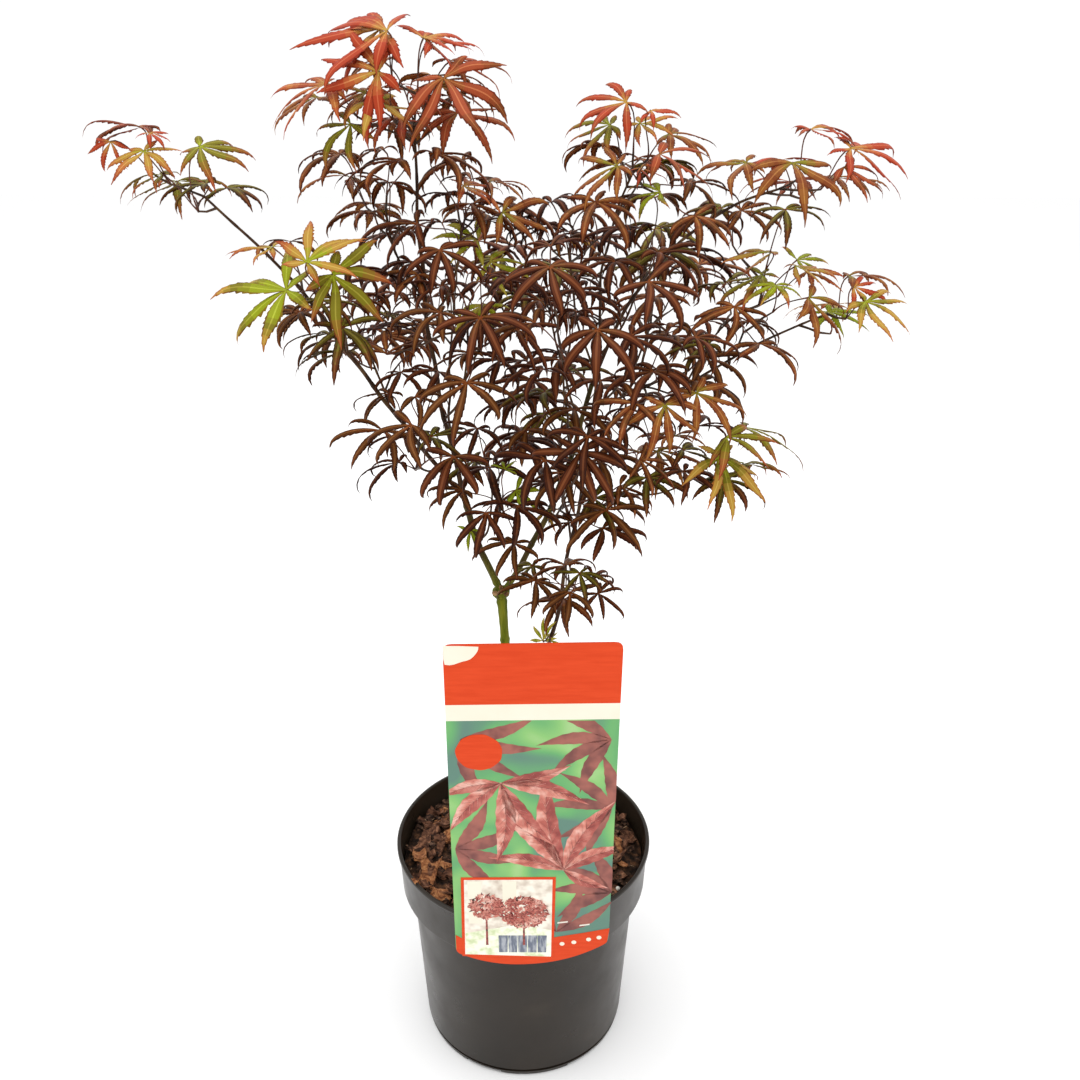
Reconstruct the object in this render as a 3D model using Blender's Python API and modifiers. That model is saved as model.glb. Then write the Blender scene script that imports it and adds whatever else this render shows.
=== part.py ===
"""Young japanese maple in a round nursery pot: pot, potting mix, stems, boughs, leaf masses and a plain hang card.

Metres, +Z up. The origin is the centre of the pot's flat underside, and -Y is the side the card hangs on.
"""

import math
import random

import bmesh
import bpy
import numpy as np
from mathutils import Vector

# ---- driving dimensions -------------------------------------------------------------------------------------------
GAP = 0.0003  # clearance between a piece and the piece it rests on
SEED = 11

# pot, injection moulded
POT_H = 0.1655
RIM_R = 0.0950  # over the rolled lip
BAND_TOP_R = 0.0936
BAND_LOW_R = 0.0921
BAND_H = 0.0365
BODY_TOP_R = 0.0848
BASE_R = 0.0766
LIP_H = 0.0030
WALL = 0.0016
FLOOR_T = 0.0022
FOOT_H = 0.0036
FOOT_STEP = 0.0006
POT_STEPS = 40
NOTCHES = 6
NOTCH_W, NOTCH_H, NOTCH_IN = 0.024, 0.0018, 0.010

# potting mix
MIX_TOP = 0.1470
MIX_MOUND = 0.0016
MIX_STEPS = 40

# hang card, hooked over the front of the rim
CARD_X = 0.0075
CARD_W = 0.1050
CARD_LOW, CARD_TOP = 0.1500, 0.3900
CARD_BULGE = 0.0135
CARD_T = 0.0010
CARD_CORNER = 0.0050
CARD_LEAN = 3.3
CARD_Y = -0.0946  # back of the card at CARD_LOW
HOOK_W, HOOK_APART = 0.014, 0.054

# limbs: parent, share of the parent's length where it starts, tip, radius at both ends, bow of its middle
FORK = (-0.015, 0.000, 0.370)
LIMBS = {
    "main_stem": (None, 0, FORK, 0.0046, 0.0040, (0.0015, 0, 0)),
    "left_limb": ("main_stem", 1.0, (-0.039, -0.005, 0.446), 0.0031, 0.0027, (-0.003, 0, 0)),
    "right_limb": ("main_stem", 0.985, (0.043, -0.015, 0.518), 0.0027, 0.0019, (0.006, 0, -0.004)),
    "second_stem": ("main_stem", 0.40, (0.049, 0.020, 0.545), 0.0024, 0.0016, (0.009, 0, -0.004)),
    "leader": ("left_limb", 1.0, (-0.058, -0.025, 0.666), 0.0025, 0.0011, (-0.007, 0, 0)),
    "left_bough": ("left_limb", 0.90, (-0.128, -0.030, 0.580), 0.0023, 0.0016, (-0.002, -0.003, 0.002)),
    "left_tip_bough": ("left_bough", 1.0, (-0.178, -0.022, 0.628), 0.0014, 0.0010, (-0.004, 0, 0.005)),
    "left_pad_bough": ("left_bough", 0.72, (-0.110, -0.055, 0.590), 0.0012, 0.0009, (0.004, -0.006, 0)),
    "left_mid_bough": ("left_bough", 0.48, (-0.098, 0.018, 0.534), 0.0012, 0.0009, (0, 0.006, -0.004)),
    "left_low_bough": ("left_bough", 0.16, (-0.062, -0.044, 0.484), 0.0012, 0.0009, (-0.004, -0.006, -0.003)),
    "leader_left_bough": ("leader", 0.56, (-0.078, -0.010, 0.620), 0.0012, 0.0009, (-0.004, 0.004, -0.004)),
    "leader_right_bough": ("leader", 0.50, (-0.035, -0.002, 0.610), 0.0012, 0.0009, (0.005, 0.004, -0.004)),
    "centre_left_bough": ("leader", 0.22, (-0.030, -0.045, 0.550), 0.0013, 0.0009, (0.004, -0.006, -0.004)),
    "centre_low_bough": ("left_limb", 0.50, (-0.018, -0.030, 0.454), 0.0012, 0.0009, (0.003, -0.005, -0.004)),
    "low_mid_bough": ("right_limb", 0.42, (0.028, -0.046, 0.458), 0.0012, 0.0009, (0, -0.006, -0.004)),
    "centre_front_bough": ("right_limb", 0.70, (0.024, -0.074, 0.546), 0.0013, 0.0009, (0, -0.006, -0.006)),
    "right_front_bough": ("right_limb", 0.92, (0.068, -0.062, 0.540), 0.0013, 0.0009, (0.004, -0.006, -0.005)),
    "right_top_bough": ("right_limb", 1.0, (0.146, -0.020, 0.633), 0.0018, 0.0010, (-0.011, 0, 0.019)),
    "low_front_bough": ("second_stem", 0.46, (0.030, -0.034, 0.398), 0.0011, 0.0008, (0.002, -0.005, -0.002)),
    "right_low_bough": ("second_stem", 0.60, (0.074, -0.030, 0.478), 0.0013, 0.0010, (0.004, -0.004, -0.005)),
    "right_tip_bough": ("right_low_bough", 0.55, (0.108, -0.060, 0.478), 0.0009, 0.0008, (0.004, -0.004, -0.004)),
    "right_far_bough": ("second_stem", 0.70, (0.176, -0.036, 0.566), 0.0016, 0.0009, (-0.004, -0.010, 0.013)),
    "right_mid_bough": ("right_far_bough", 0.50, (0.128, -0.012, 0.560), 0.0010, 0.0008, (0, 0.003, 0.004)),
    "centre_top_bough": ("second_stem", 0.90, (0.028, 0.008, 0.596), 0.0012, 0.0009, (-0.003, 0, -0.004)),
    "upper_mid_bough": ("second_stem", 1.0, (0.064, -0.006, 0.640), 0.0014, 0.0009, (-0.006, 0.003, -0.002)),
    "right_back_bough": ("second_stem", 0.94, (0.080, 0.040, 0.586), 0.0012, 0.0009, (0.004, 0.004, -0.004)),
    "back_left_bough": ("leader", 0.12, (-0.050, 0.092, 0.526), 0.0015, 0.0010, (-0.003, 0.004, -0.012)),
    "back_mid_bough": ("second_stem", 0.76, (0.018, 0.100, 0.540), 0.0014, 0.0010, (0, 0.004, -0.008)),
    "back_right_bough": ("second_stem", 0.84, (0.090, 0.104, 0.528), 0.0013, 0.0010, (0.004, 0.004, -0.008)),
    "back_low_bough": ("second_stem", 0.54, (0.026, 0.084, 0.452), 0.0013, 0.0009, (0, 0.004, -0.008)),
}
FLARE_R, FLARE_H = 0.0078, 0.016  # root flare of the main stem
KNUCKLE_R = 0.0056  # scarred swelling at the fork

# leaf masses: the bough that carries it, centre, half sizes
MASSES = {
    "top_left_leaves": ("leader", (-0.068, -0.030, 0.694), (0.054, 0.056, 0.036)),
    "leader_left_leaves": ("leader_left_bough", (-0.090, -0.014, 0.634), (0.030, 0.042, 0.030)),
    "leader_right_leaves": ("leader_right_bough", (-0.026, -0.006, 0.628), (0.032, 0.044, 0.028)),
    "far_left_leaves": ("left_tip_bough", (-0.203, -0.020, 0.646), (0.046, 0.044, 0.026)),
    "left_pad_leaves": ("left_pad_bough", (-0.117, -0.074, 0.604), (0.050, 0.048, 0.021)),
    "left_mid_leaves": ("left_mid_bough", (-0.108, 0.030, 0.544), (0.040, 0.040, 0.030)),
    "left_low_leaves": ("left_low_bough", (-0.066, -0.066, 0.496), (0.030, 0.036, 0.027)),
    "centre_left_leaves": ("centre_left_bough", (-0.026, -0.066, 0.574), (0.036, 0.044, 0.034)),
    "centre_low_leaves": ("centre_low_bough", (-0.014, -0.050, 0.478), (0.035, 0.036, 0.040)),
    "low_mid_leaves": ("low_mid_bough", (0.032, -0.062, 0.468), (0.034, 0.036, 0.030)),
    "centre_front_leaves": ("centre_front_bough", (0.024, -0.096, 0.564), (0.034, 0.044, 0.032)),
    "right_front_leaves": ("right_front_bough", (0.074, -0.084, 0.552), (0.036, 0.042, 0.030)),
    "low_front_leaves": ("low_front_bough", (0.030, -0.052, 0.398), (0.032, 0.030, 0.023)),
    "right_low_leaves": ("right_low_bough", (0.086, -0.036, 0.492), (0.034, 0.040, 0.030)),
    "right_tip_low_leaves": ("right_tip_bough", (0.124, -0.074, 0.488), (0.028, 0.032, 0.024)),
    "right_top_leaves": ("right_top_bough", (0.176, -0.020, 0.648), (0.046, 0.046, 0.022)),
    "right_mid_leaves": ("right_mid_bough", (0.140, -0.004, 0.580), (0.040, 0.046, 0.028)),
    "right_far_leaves": ("right_far_bough", (0.197, -0.028, 0.572), (0.030, 0.040, 0.022)),
    "centre_top_leaves": ("centre_top_bough", (0.020, 0.004, 0.614), (0.032, 0.046, 0.026)),
    "upper_mid_leaves": ("upper_mid_bough", (0.068, -0.008, 0.660), (0.040, 0.048, 0.028)),
    "right_back_leaves": ("right_back_bough", (0.088, 0.044, 0.596), (0.038, 0.038, 0.034)),
    "back_left_leaves": ("back_left_bough", (-0.056, 0.118, 0.540), (0.058, 0.048, 0.040)),
    "back_mid_leaves": ("back_mid_bough", (0.016, 0.134, 0.552), (0.052, 0.048, 0.042)),
    "back_right_leaves": ("back_right_bough", (0.096, 0.128, 0.534), (0.052, 0.046, 0.040)),
    "back_low_leaves": ("back_low_bough", (0.022, 0.100, 0.456), (0.050, 0.040, 0.036)),
}
MASS_AROUND, MASS_RINGS = 12, 7
UNEVEN = 0.22
MASS_APART = 0.0012

# base colour, roughness
COLOURS = {
    "pot_plastic": ((0.020, 0.019, 0.017), 0.42),
    "bark_mix": ((0.090, 0.042, 0.022), 0.95),
    "green_bark": ((0.130, 0.200, 0.040), 0.60),
    "brown_bark": ((0.085, 0.050, 0.035), 0.65),
    "maroon_leaf": ((0.090, 0.030, 0.020), 0.55),
    "red_leaf": ((0.480, 0.090, 0.045), 0.50),
    "amber_leaf": ((0.330, 0.260, 0.050), 0.50),
    "printed_card": ((0.620, 0.090, 0.040), 0.35),
}
RED_MASSES = ("top_left_leaves", "right_top_leaves", "upper_mid_leaves")
AMBER_MASSES = ("left_pad_leaves", "right_far_leaves", "right_tip_low_leaves", "far_left_leaves")


# ---- helpers ------------------------------------------------------------------------------------------------------
def clear_scene():
    for obj in list(bpy.data.objects):
        bpy.data.objects.remove(obj, do_unlink=True)
    for block in (bpy.data.meshes, bpy.data.curves, bpy.data.materials):
        for item in list(block):
            block.remove(item)


def collection(name):
    made = bpy.data.collections.new(name)
    bpy.context.scene.collection.children.link(made)
    return made


def paint(obj, key):
    mat = bpy.data.materials.get(key) or bpy.data.materials.new(key)
    mat.use_nodes = True
    shader = mat.node_tree.nodes["Principled BSDF"]
    colour, rough = COLOURS[key]
    shader.inputs["Base Color"].default_value = (*colour, 1)
    shader.inputs["Roughness"].default_value = rough
    shader.inputs["Metallic"].default_value = 0.0
    mat.diffuse_color = (*colour, 1)
    obj.data.materials.clear()
    obj.data.materials.append(mat)


def as_cutter(obj):
    obj.hide_render = True
    obj.display_type = "WIRE"


def from_mesh(name, points, faces, where, smooth=True):
    mesh = bpy.data.meshes.new(name)
    mesh.from_pydata([tuple(p) for p in points], [], faces)
    mesh.update()
    if smooth:
        for poly in mesh.polygons:
            poly.use_smooth = True
    obj = bpy.data.objects.new(name, mesh)
    where.objects.link(obj)
    return obj


def curve_to_mesh(curve_obj, name, where):
    """The curve's tube as a welded mesh, in place."""
    graph = bpy.context.evaluated_depsgraph_get()
    mesh = bpy.data.meshes.new_from_object(curve_obj.evaluated_get(graph))
    work = bmesh.new()
    work.from_mesh(mesh)
    bmesh.ops.remove_doubles(work, verts=work.verts, dist=1e-6)
    bmesh.ops.recalc_face_normals(work, faces=work.faces)
    work.to_mesh(mesh)
    work.free()
    mesh.name = name
    obj = bpy.data.objects.new(name, mesh)
    obj.matrix_world = curve_obj.matrix_world
    where.objects.link(obj)
    bpy.data.objects.remove(curve_obj, do_unlink=True)
    for poly in obj.data.polygons:
        poly.use_smooth = True
    return obj


def tube(name, points, radii, where):
    """A round limb through the points, with its own radius at each."""
    data = bpy.data.curves.new(name, "CURVE")
    data.dimensions = "3D"
    data.bevel_depth = 1.0
    data.bevel_resolution = 2
    data.use_fill_caps = True
    spline = data.splines.new("POLY")
    spline.points.add(len(points) - 1)
    for item, place, radius in zip(spline.points, points, radii):
        item.co = (*place, 1)
        item.radius = radius
    obj = bpy.data.objects.new(name + "_curve", data)
    where.objects.link(obj)
    bpy.context.view_layer.update()
    return curve_to_mesh(obj, name, where)


def turned(name, profile, steps, where):
    """A closed turned body: the profile runs from the axis, down the outer side, and back to the axis."""
    mesh = bpy.data.meshes.new(name)
    mesh.from_pydata([(r, 0, z) for r, z in profile], [(i, i + 1) for i in range(len(profile) - 1)], [])
    obj = bpy.data.objects.new(name, mesh)
    where.objects.link(obj)
    screw = obj.modifiers.new("Turn", "SCREW")
    screw.axis = "Z"
    screw.angle = 2 * math.pi
    screw.steps = screw.render_steps = steps
    screw.use_merge_vertices = True
    screw.merge_threshold = 0.00002
    screw.use_smooth_shade = True
    return obj


def cut(obj, cutter, name="Cut", operation="DIFFERENCE"):
    made = obj.modifiers.new(name, "BOOLEAN")
    made.operation = operation
    made.solver = "EXACT"
    made.object = cutter


def box(name, centre, size, where, turn_z=0.0):
    bpy.ops.mesh.primitive_cube_add(size=1, location=centre, rotation=(0, 0, turn_z))
    obj = bpy.context.active_object
    obj.name = obj.data.name = name
    obj.scale = size
    bpy.ops.object.transform_apply(location=False, rotation=False, scale=True)
    for old in list(obj.users_collection):
        old.objects.unlink(obj)
    where.objects.link(obj)
    return obj


clear_scene()
TREE = collection("potted_japanese_maple")
TOOLS = collection("cutters")


# ---- pot ----------------------------------------------------------------------------------------------------------
band_z = POT_H - BAND_H
pot_profile = [
    (0.0, FLOOR_T + 0.0008),
    (BASE_R - 0.010, FLOOR_T + 0.0008),
    (BASE_R - WALL - 0.0004, FLOOR_T + 0.006),
    (BODY_TOP_R - WALL, band_z - 0.001),
    (BAND_LOW_R - WALL, band_z + 0.0035),
    (BAND_TOP_R - WALL, POT_H - 0.0006),
    (BAND_TOP_R - WALL + 0.0006, POT_H),
    (RIM_R - 0.0007, POT_H),
    (RIM_R, POT_H - 0.0008),
    (RIM_R, POT_H - LIP_H),
    (BAND_TOP_R, POT_H - LIP_H - 0.0008),
    (BAND_LOW_R, band_z),
    (BAND_LOW_R - 0.0012, band_z - 0.0004),
    (BODY_TOP_R, band_z - 0.0010),
    (BASE_R + FOOT_STEP, FOOT_H + 0.0006),
    (BASE_R, FOOT_H),
    (BASE_R - 0.0006, 0.0006),
    (BASE_R - 0.0014, 0.0),
    (0.0, 0.0),
]
pot = turned("pot", pot_profile, POT_STEPS, TREE)
paint(pot, "pot_plastic")
for k in range(NOTCHES):
    turn = 2 * math.pi * k / NOTCHES + math.radians(-114)
    reach = BASE_R - NOTCH_IN / 2 + 0.002
    notch = box(
        f"notch_{k}",
        (reach * math.cos(turn), reach * math.sin(turn), 0.0),
        (NOTCH_IN + 0.004, NOTCH_W, 2 * NOTCH_H),
        TOOLS,
        turn,
    )
    as_cutter(notch)
    cut(pot, notch, f"Notch_{k}")


# ---- potting mix --------------------------------------------------------------------------------------------------
def inner_radius(z):
    """Clear radius inside the pot at a height."""
    inner = sorted((b, a) for a, b in pot_profile[1:6])
    heights = [b for b, _ in inner]
    return float(np.interp(z, heights, [a for _, a in inner])) - GAP * 1.6


mix_profile = [
    (0.0, MIX_TOP),
    (0.030, MIX_TOP),
    (0.055, MIX_TOP + MIX_MOUND),
    (0.078, MIX_TOP + 0.4 * MIX_MOUND),
    (inner_radius(MIX_TOP - 0.001), MIX_TOP - 0.0015),
    (inner_radius(band_z + 0.0035), band_z + 0.0035),
    (inner_radius(band_z - 0.001) - 0.0002, band_z - 0.001),
    (inner_radius(FLOOR_T + 0.006) - 0.0002, FLOOR_T + 0.0066),
    (BASE_R - 0.011, FLOOR_T + 0.0008 + GAP * 2),
    (0.0, FLOOR_T + 0.0008 + GAP * 2),
]
mix = turned("potting_mix", mix_profile, MIX_STEPS, TREE)
paint(mix, "bark_mix")


# ---- stems and boughs ---------------------------------------------------------------------------------------------
def bent_line(start, tip, bow, count, rng, wobble):
    """Points from start to tip, bowed at the middle, with the small kinks a maple has at its nodes."""
    start, tip, bow = Vector(start), Vector(tip), Vector(bow)
    points = []
    for i in range(count + 1):
        t = i / count
        place = start.lerp(tip, t) + bow * (4 * t * (1 - t))
        if 0 < i < count:
            side = 1 if i % 2 else -1
            place += Vector((rng.uniform(0.4, 1) * side, rng.uniform(-1, 1), 0)) * wobble
        points.append(place)
    return points


def along(points, share):
    """The place at a share of the line's length."""
    spans = [(b - a).length for a, b in zip(points, points[1:])]
    left = share * sum(spans)
    for a, b, span in zip(points, points[1:], spans):
        if left <= span:
            return a.lerp(b, left / span)
        left -= span
    return points[-1].copy()


rng = random.Random(SEED)
lines, radii, limbs, limb_cutters = {}, {}, {}, {}
for name, (parent, share, tip, r0, r1, bow) in LIMBS.items():
    if parent is None:
        start = Vector((0.001, 0.0, MIX_TOP + GAP * 1.5))
    else:
        start = along(lines[parent], share)
    length = (Vector(tip) - start).length
    count = max(3, min(8, round(length / 0.022)))
    points = bent_line(start, tip, bow, count, rng, 0.035 * length / count)
    sizes = [r0 + (r1 - r0) * i / count for i in range(count + 1)]
    if parent is None:
        # the flare is three short rings above the flat foot, the knuckle one wide ring under the fork
        foot = points[0]
        flare = [foot.lerp(points[1], FLARE_H * k / (points[1] - foot).length) for k in (0, 0.18, 0.5, 1.0)]
        for place in flare:
            place.z = max(place.z, foot.z)
        neck = [points[-1] - Vector((0, 0, drop)) for drop in (0.011, 0.003, 0)]
        points = flare + points[1:-1] + neck
        sizes = [FLARE_R, FLARE_R * 0.83, FLARE_R * 0.68, r0 * 1.08] + sizes[1:-1] + [r1 * 1.1, KNUCKLE_R, r1]
    lines[name], radii[name] = points, sizes
    limbs[name] = tube(name, points, sizes, TREE)
    paint(limbs[name], "green_bark" if name in ("main_stem", "left_limb", "right_limb") else "brown_bark")
    wider = tube(name + "_clearance", points, [r + GAP for r in sizes], TOOLS)
    as_cutter(wider)
    limb_cutters[name] = wider


def distance_to_line(place, line):
    best = 1.0
    for a, b in zip(line, line[1:]):
        ab = b - a
        t = max(0.0, min(1.0, (place - a).dot(ab) / ab.length_squared))
        best = min(best, (place - (a + ab * t)).length)
    return best


# each limb starts at its parent's surface, and where two limbs leave one place the thinner one gives way
names = list(LIMBS)
for k, name in enumerate(names):
    parent = LIMBS[name][0]
    for other in names[:k]:
        first, second = lines[name][:2]
        near = min(distance_to_line(first.lerp(second, t / 8), lines[other]) for t in range(9))
        if other == parent or near < radii[name][0] + max(radii[other][:4]) + 2 * GAP:
            cut(limbs[name], limb_cutters[other], "From_" + other)


# ---- leaf masses --------------------------------------------------------------------------------------------------
def reach_of(half, way):
    """How far an ellipsoid's side lies from its centre along a direction."""
    return math.sqrt(sum((h * w) ** 2 for h, w in zip(half, way)))


def surface_of(half, way):
    return 1 / math.sqrt(sum((w / h) ** 2 for h, w in zip(half, way)))


def leaf_mass(name, centre, half, rng):
    """A closed uneven body round its centre. It keeps to its own side of the plane between it and each neighbour."""
    centre = Vector(centre)
    planes = []
    for other, (_, place, size) in MASSES.items():
        if other == name:
            continue
        apart = Vector(place) - centre
        way = apart.normalized()
        mine, theirs = reach_of(half, way), reach_of(size, way)
        if (mine + theirs) * (1 + UNEVEN) > apart.length:
            planes.append((way, apart.length * mine / (mine + theirs) - MASS_APART / 2))
    waves = [
        (Vector([rng.uniform(-1, 1) for _ in range(3)]).normalized(), rng.uniform(2.0, 4.5), rng.uniform(0, 6.28))
        for _ in range(6)
    ]

    def radius(way):
        lump = sum(math.sin(k * 2 * way.dot(axis) + phase) for axis, k, phase in waves) / len(waves)
        r = surface_of(half, way) * (1 + UNEVEN * 1.6 * lump)
        for normal, far in planes:
            facing = way.dot(normal)
            if facing > 1e-4:
                r = min(r, far / facing)
        return r

    points, faces = [], []
    for i in range(1, MASS_RINGS):
        tilt = math.pi * i / MASS_RINGS
        for j in range(MASS_AROUND):
            turn = 2 * math.pi * (j + 0.5 * (i % 2)) / MASS_AROUND
            way = Vector((math.sin(tilt) * math.cos(turn), math.sin(tilt) * math.sin(turn), math.cos(tilt)))
            points.append(centre + way * radius(way))
    top, low = len(points), len(points) + 1
    points += [centre + Vector((0, 0, radius(Vector((0, 0, 1))))), centre - Vector((0, 0, radius(Vector((0, 0, -1)))))]
    n = MASS_AROUND
    for j in range(n):
        k = (j + 1) % n
        faces.append((top, j, k))
        faces.append((low, (MASS_RINGS - 2) * n + k, (MASS_RINGS - 2) * n + j))
        for i in range(MASS_RINGS - 2):
            a, b, c, d = i * n + j, i * n + k, (i + 1) * n + j, (i + 1) * n + k
            faces += [(a, c, d), (a, d, b)] if i % 2 else [(a, c, b), (b, c, d)]
    return from_mesh(name, points, faces, TREE)


for name, (bough, centre, half) in MASSES.items():
    mass = leaf_mass(name, centre, half, rng)
    key = "red_leaf" if name in RED_MASSES else "amber_leaf" if name in AMBER_MASSES else "maroon_leaf"
    paint(mass, key)
    for limb, line in lines.items():
        inside = any(
            sum(((p[i] - centre[i]) / (half[i] * 1.45)) ** 2 for i in range(3)) < 1
            for a, b in zip(line, line[1:])
            for p in (a, a.lerp(b, 0.25), a.lerp(b, 0.5), a.lerp(b, 0.75), b)
        )
        if inside:
            cut(mass, limb_cutters[limb], "Round_" + limb)


# ---- hang card ----------------------------------------------------------------------------------------------------
def card_outline():
    """Rounded corners at the top, a gently bowed foot."""
    half, r = CARD_W / 2, CARD_CORNER
    pts = []
    for cx, cz, start in ((half - r, CARD_TOP - r, 0), (-half + r, CARD_TOP - r, 90)):
        for k in range(5):
            a = math.radians(start + 22.5 * k)
            pts.append((cx + r * math.cos(a), cz + r * math.sin(a)))
    for k in range(13):
        t = -1 + 2 * k / 12
        pts.append((t * half, CARD_LOW - CARD_BULGE * (1 - abs(t) ** 2.2)))
    return pts


flat = bpy.data.curves.new("card", "CURVE")
flat.dimensions = "2D"
flat.fill_mode = "BOTH"
flat.extrude = CARD_T / 2
outline = card_outline()
spline = flat.splines.new("POLY")
spline.points.add(len(outline) - 1)
for item, (x, z) in zip(spline.points, outline):
    item.co = (x, z - CARD_LOW, 0, 1)
spline.use_cyclic_u = True
card_curve = bpy.data.objects.new("card_curve", flat)
card_curve.location = (CARD_X, CARD_Y - CARD_T / 2, CARD_LOW)
card_curve.rotation_euler = (math.radians(90 + CARD_LEAN), 0, 0)
TREE.objects.link(card_curve)
bpy.context.view_layer.update()
card = curve_to_mesh(card_curve, "hang_card", TREE)
for poly in card.data.polygons:
    poly.use_smooth = False
paint(card, "printed_card")
for k, side in enumerate((-1, 1)):
    x = CARD_X + side * HOOK_APART / 2
    back = -math.sqrt((BAND_TOP_R - WALL) ** 2 - (abs(x) + HOOK_W / 2) ** 2) + 2 * GAP
    front = CARD_Y - (POT_H - CARD_LOW) * math.tan(math.radians(CARD_LEAN)) - CARD_T / 2
    over = box(
        f"hook_over_{k}",
        (x, (front + back + CARD_T) / 2, POT_H + GAP * 2 + CARD_T / 2),
        (HOOK_W, back + CARD_T - front, CARD_T),
        TOOLS,
    )
    down = box(
        f"hook_down_{k}",
        (x, back + CARD_T / 2, POT_H - 0.005 + CARD_T / 2 + GAP * 2),
        (HOOK_W - 0.0002, CARD_T, 0.011),
        TOOLS,
    )
    for piece, title in ((over, "Hook_over"), (down, "Hook_down")):
        as_cutter(piece)
        cut(card, piece, f"{title}_{k}", "UNION")
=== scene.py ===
# %% [markdown]
# # Potted japanese maple
# A young narrow-leaved japanese maple in a black nursery pot, with a plain card hooked over the rim. The
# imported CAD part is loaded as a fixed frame. Each of its nodes is then replaced by a detailed piece in the
# same place: a turned pot, loose bark mix, stems with bark relief, and twigs and leaves that grow on from
# the boughs by a seeded rule.

import math
import random

import bpy
import numpy as np
from mathutils import Matrix, Vector, noise


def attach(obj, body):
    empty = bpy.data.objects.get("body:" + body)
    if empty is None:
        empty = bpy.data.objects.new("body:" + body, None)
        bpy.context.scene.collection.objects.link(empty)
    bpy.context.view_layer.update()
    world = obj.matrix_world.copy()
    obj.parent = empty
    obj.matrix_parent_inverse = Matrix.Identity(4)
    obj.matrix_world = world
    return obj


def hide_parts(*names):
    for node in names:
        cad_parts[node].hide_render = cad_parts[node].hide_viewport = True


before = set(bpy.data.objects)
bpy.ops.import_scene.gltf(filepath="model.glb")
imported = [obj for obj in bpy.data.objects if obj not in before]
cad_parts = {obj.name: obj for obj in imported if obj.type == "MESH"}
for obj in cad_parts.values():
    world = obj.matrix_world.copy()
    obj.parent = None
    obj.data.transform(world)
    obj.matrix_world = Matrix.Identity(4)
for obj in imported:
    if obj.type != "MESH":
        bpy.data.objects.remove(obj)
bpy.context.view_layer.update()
bpy.ops.object.select_all(action="DESELECT")

# %% [markdown]
# Everything is measured in metres from the centre of the pot's underside. These sizes are the same as the
# frame's: the rim, the rim band, the level of the mix and the place of the card.

# %% Sizes shared by several pieces
POT_H, RIM_R, WALL = 0.1655, 0.0950, 0.0016
BAND_TOP_R, BAND_LOW_R, BAND_H = 0.0936, 0.0921, 0.0365
BODY_TOP_R, BASE_R, FOOT_H = 0.0848, 0.0766, 0.0036
MIX_TOP = 0.1470
CARD_X, CARD_Y, CARD_LOW, CARD_T, CARD_LEAN = 0.0075, -0.0946, 0.1500, 0.0010, math.radians(3.3)
GAP = 0.0003
mm = 0.001
print("pot", POT_H / mm, "mm high,", 2 * RIM_R / mm, "mm over the rim")

# %% [markdown]
# A few helpers keep the cells short. `start_piece` names the object that an operator has just added.
# `fit_piece` applies its transforms, so that its place is held in the mesh, and tells the frame what it
# rides on and what it stands for. `draw_line` draws one edge line by
# extruding a point, as by hand, and `piece_from_arrays` is for shapes that are grown by rule.

# %% Helpers for pieces
def start_piece(name):
    piece = bpy.context.active_object
    piece.name = piece.data.name = name
    return piece


def only(piece):
    """Selects one object and makes it active."""
    bpy.ops.object.select_all(action="DESELECT")
    piece.select_set(True)
    bpy.context.view_layer.objects.active = piece


def apply_modifiers(piece):
    only(piece)
    for modifier in list(piece.modifiers):
        bpy.ops.object.modifier_apply(modifier=modifier.name)


def fit_piece(piece, nodes=(), smooth=None):
    only(piece)
    bpy.ops.object.transform_apply(location=True, rotation=True, scale=True)
    if smooth is not None:
        bpy.ops.object.shade_smooth_by_angle(angle=math.radians(smooth))
    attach(piece, "root")
    if nodes:
        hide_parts(*nodes)
    bpy.ops.object.select_all(action="DESELECT")
    print(piece.name, len(piece.data.polygons), "faces")
    return piece


def join_pieces(pieces, name):
    bpy.ops.object.select_all(action="DESELECT")
    for piece in pieces:
        piece.select_set(True)
    bpy.context.view_layer.objects.active = pieces[0]
    bpy.ops.object.join()
    return start_piece(name)


def draw_line(name, points):
    """A plane merged to one point, put at the first point and extruded to the others. Edit mode stays on."""
    bpy.ops.mesh.primitive_plane_add(size=1)
    line = start_piece(name)
    bpy.ops.object.mode_set(mode="EDIT")
    bpy.ops.mesh.delete(type="ONLY_FACE")
    bpy.ops.mesh.select_all(action="SELECT")
    bpy.ops.mesh.merge(type="CENTER")
    bpy.ops.transform.translate(value=points[0])
    for before, after in zip(points, points[1:]):
        bpy.ops.mesh.extrude_region_move(TRANSFORM_OT_translate={"value": Vector(after) - Vector(before)})
    return line


def piece_from_arrays(name, points, faces, slots, materials):
    mesh = bpy.data.meshes.new(name)
    mesh.from_pydata([tuple(p) for p in points], [], faces)
    for material in materials:
        mesh.materials.append(material)
    mesh.polygons.foreach_set("material_index", slots)
    mesh.polygons.foreach_set("use_smooth", [True] * len(mesh.polygons))
    mesh.update()
    piece = bpy.data.objects.new(name, mesh)
    bpy.context.scene.collection.objects.link(piece)
    return piece


print("helpers for pieces ready")

# %% [markdown]
# A finish is a Principled shader. Where the real surface varies, its colour, roughness and bump come from
# noise in Object coordinates, so the pattern keeps its real scale. `finish` makes the shader with plain
# numbers, and `mottle`, `rough_by` and `bump_by` add the variation.

# %% Helpers for finishes
def finish(name, colour, rough, specular):
    material = bpy.data.materials.new(name)
    material.use_nodes = True
    shader = material.node_tree.nodes["Principled BSDF"]
    shader.inputs["Base Color"].default_value = (*colour, 1)
    shader.inputs["Roughness"].default_value = rough
    shader.inputs["Specular IOR Level"].default_value = specular
    return material


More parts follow.
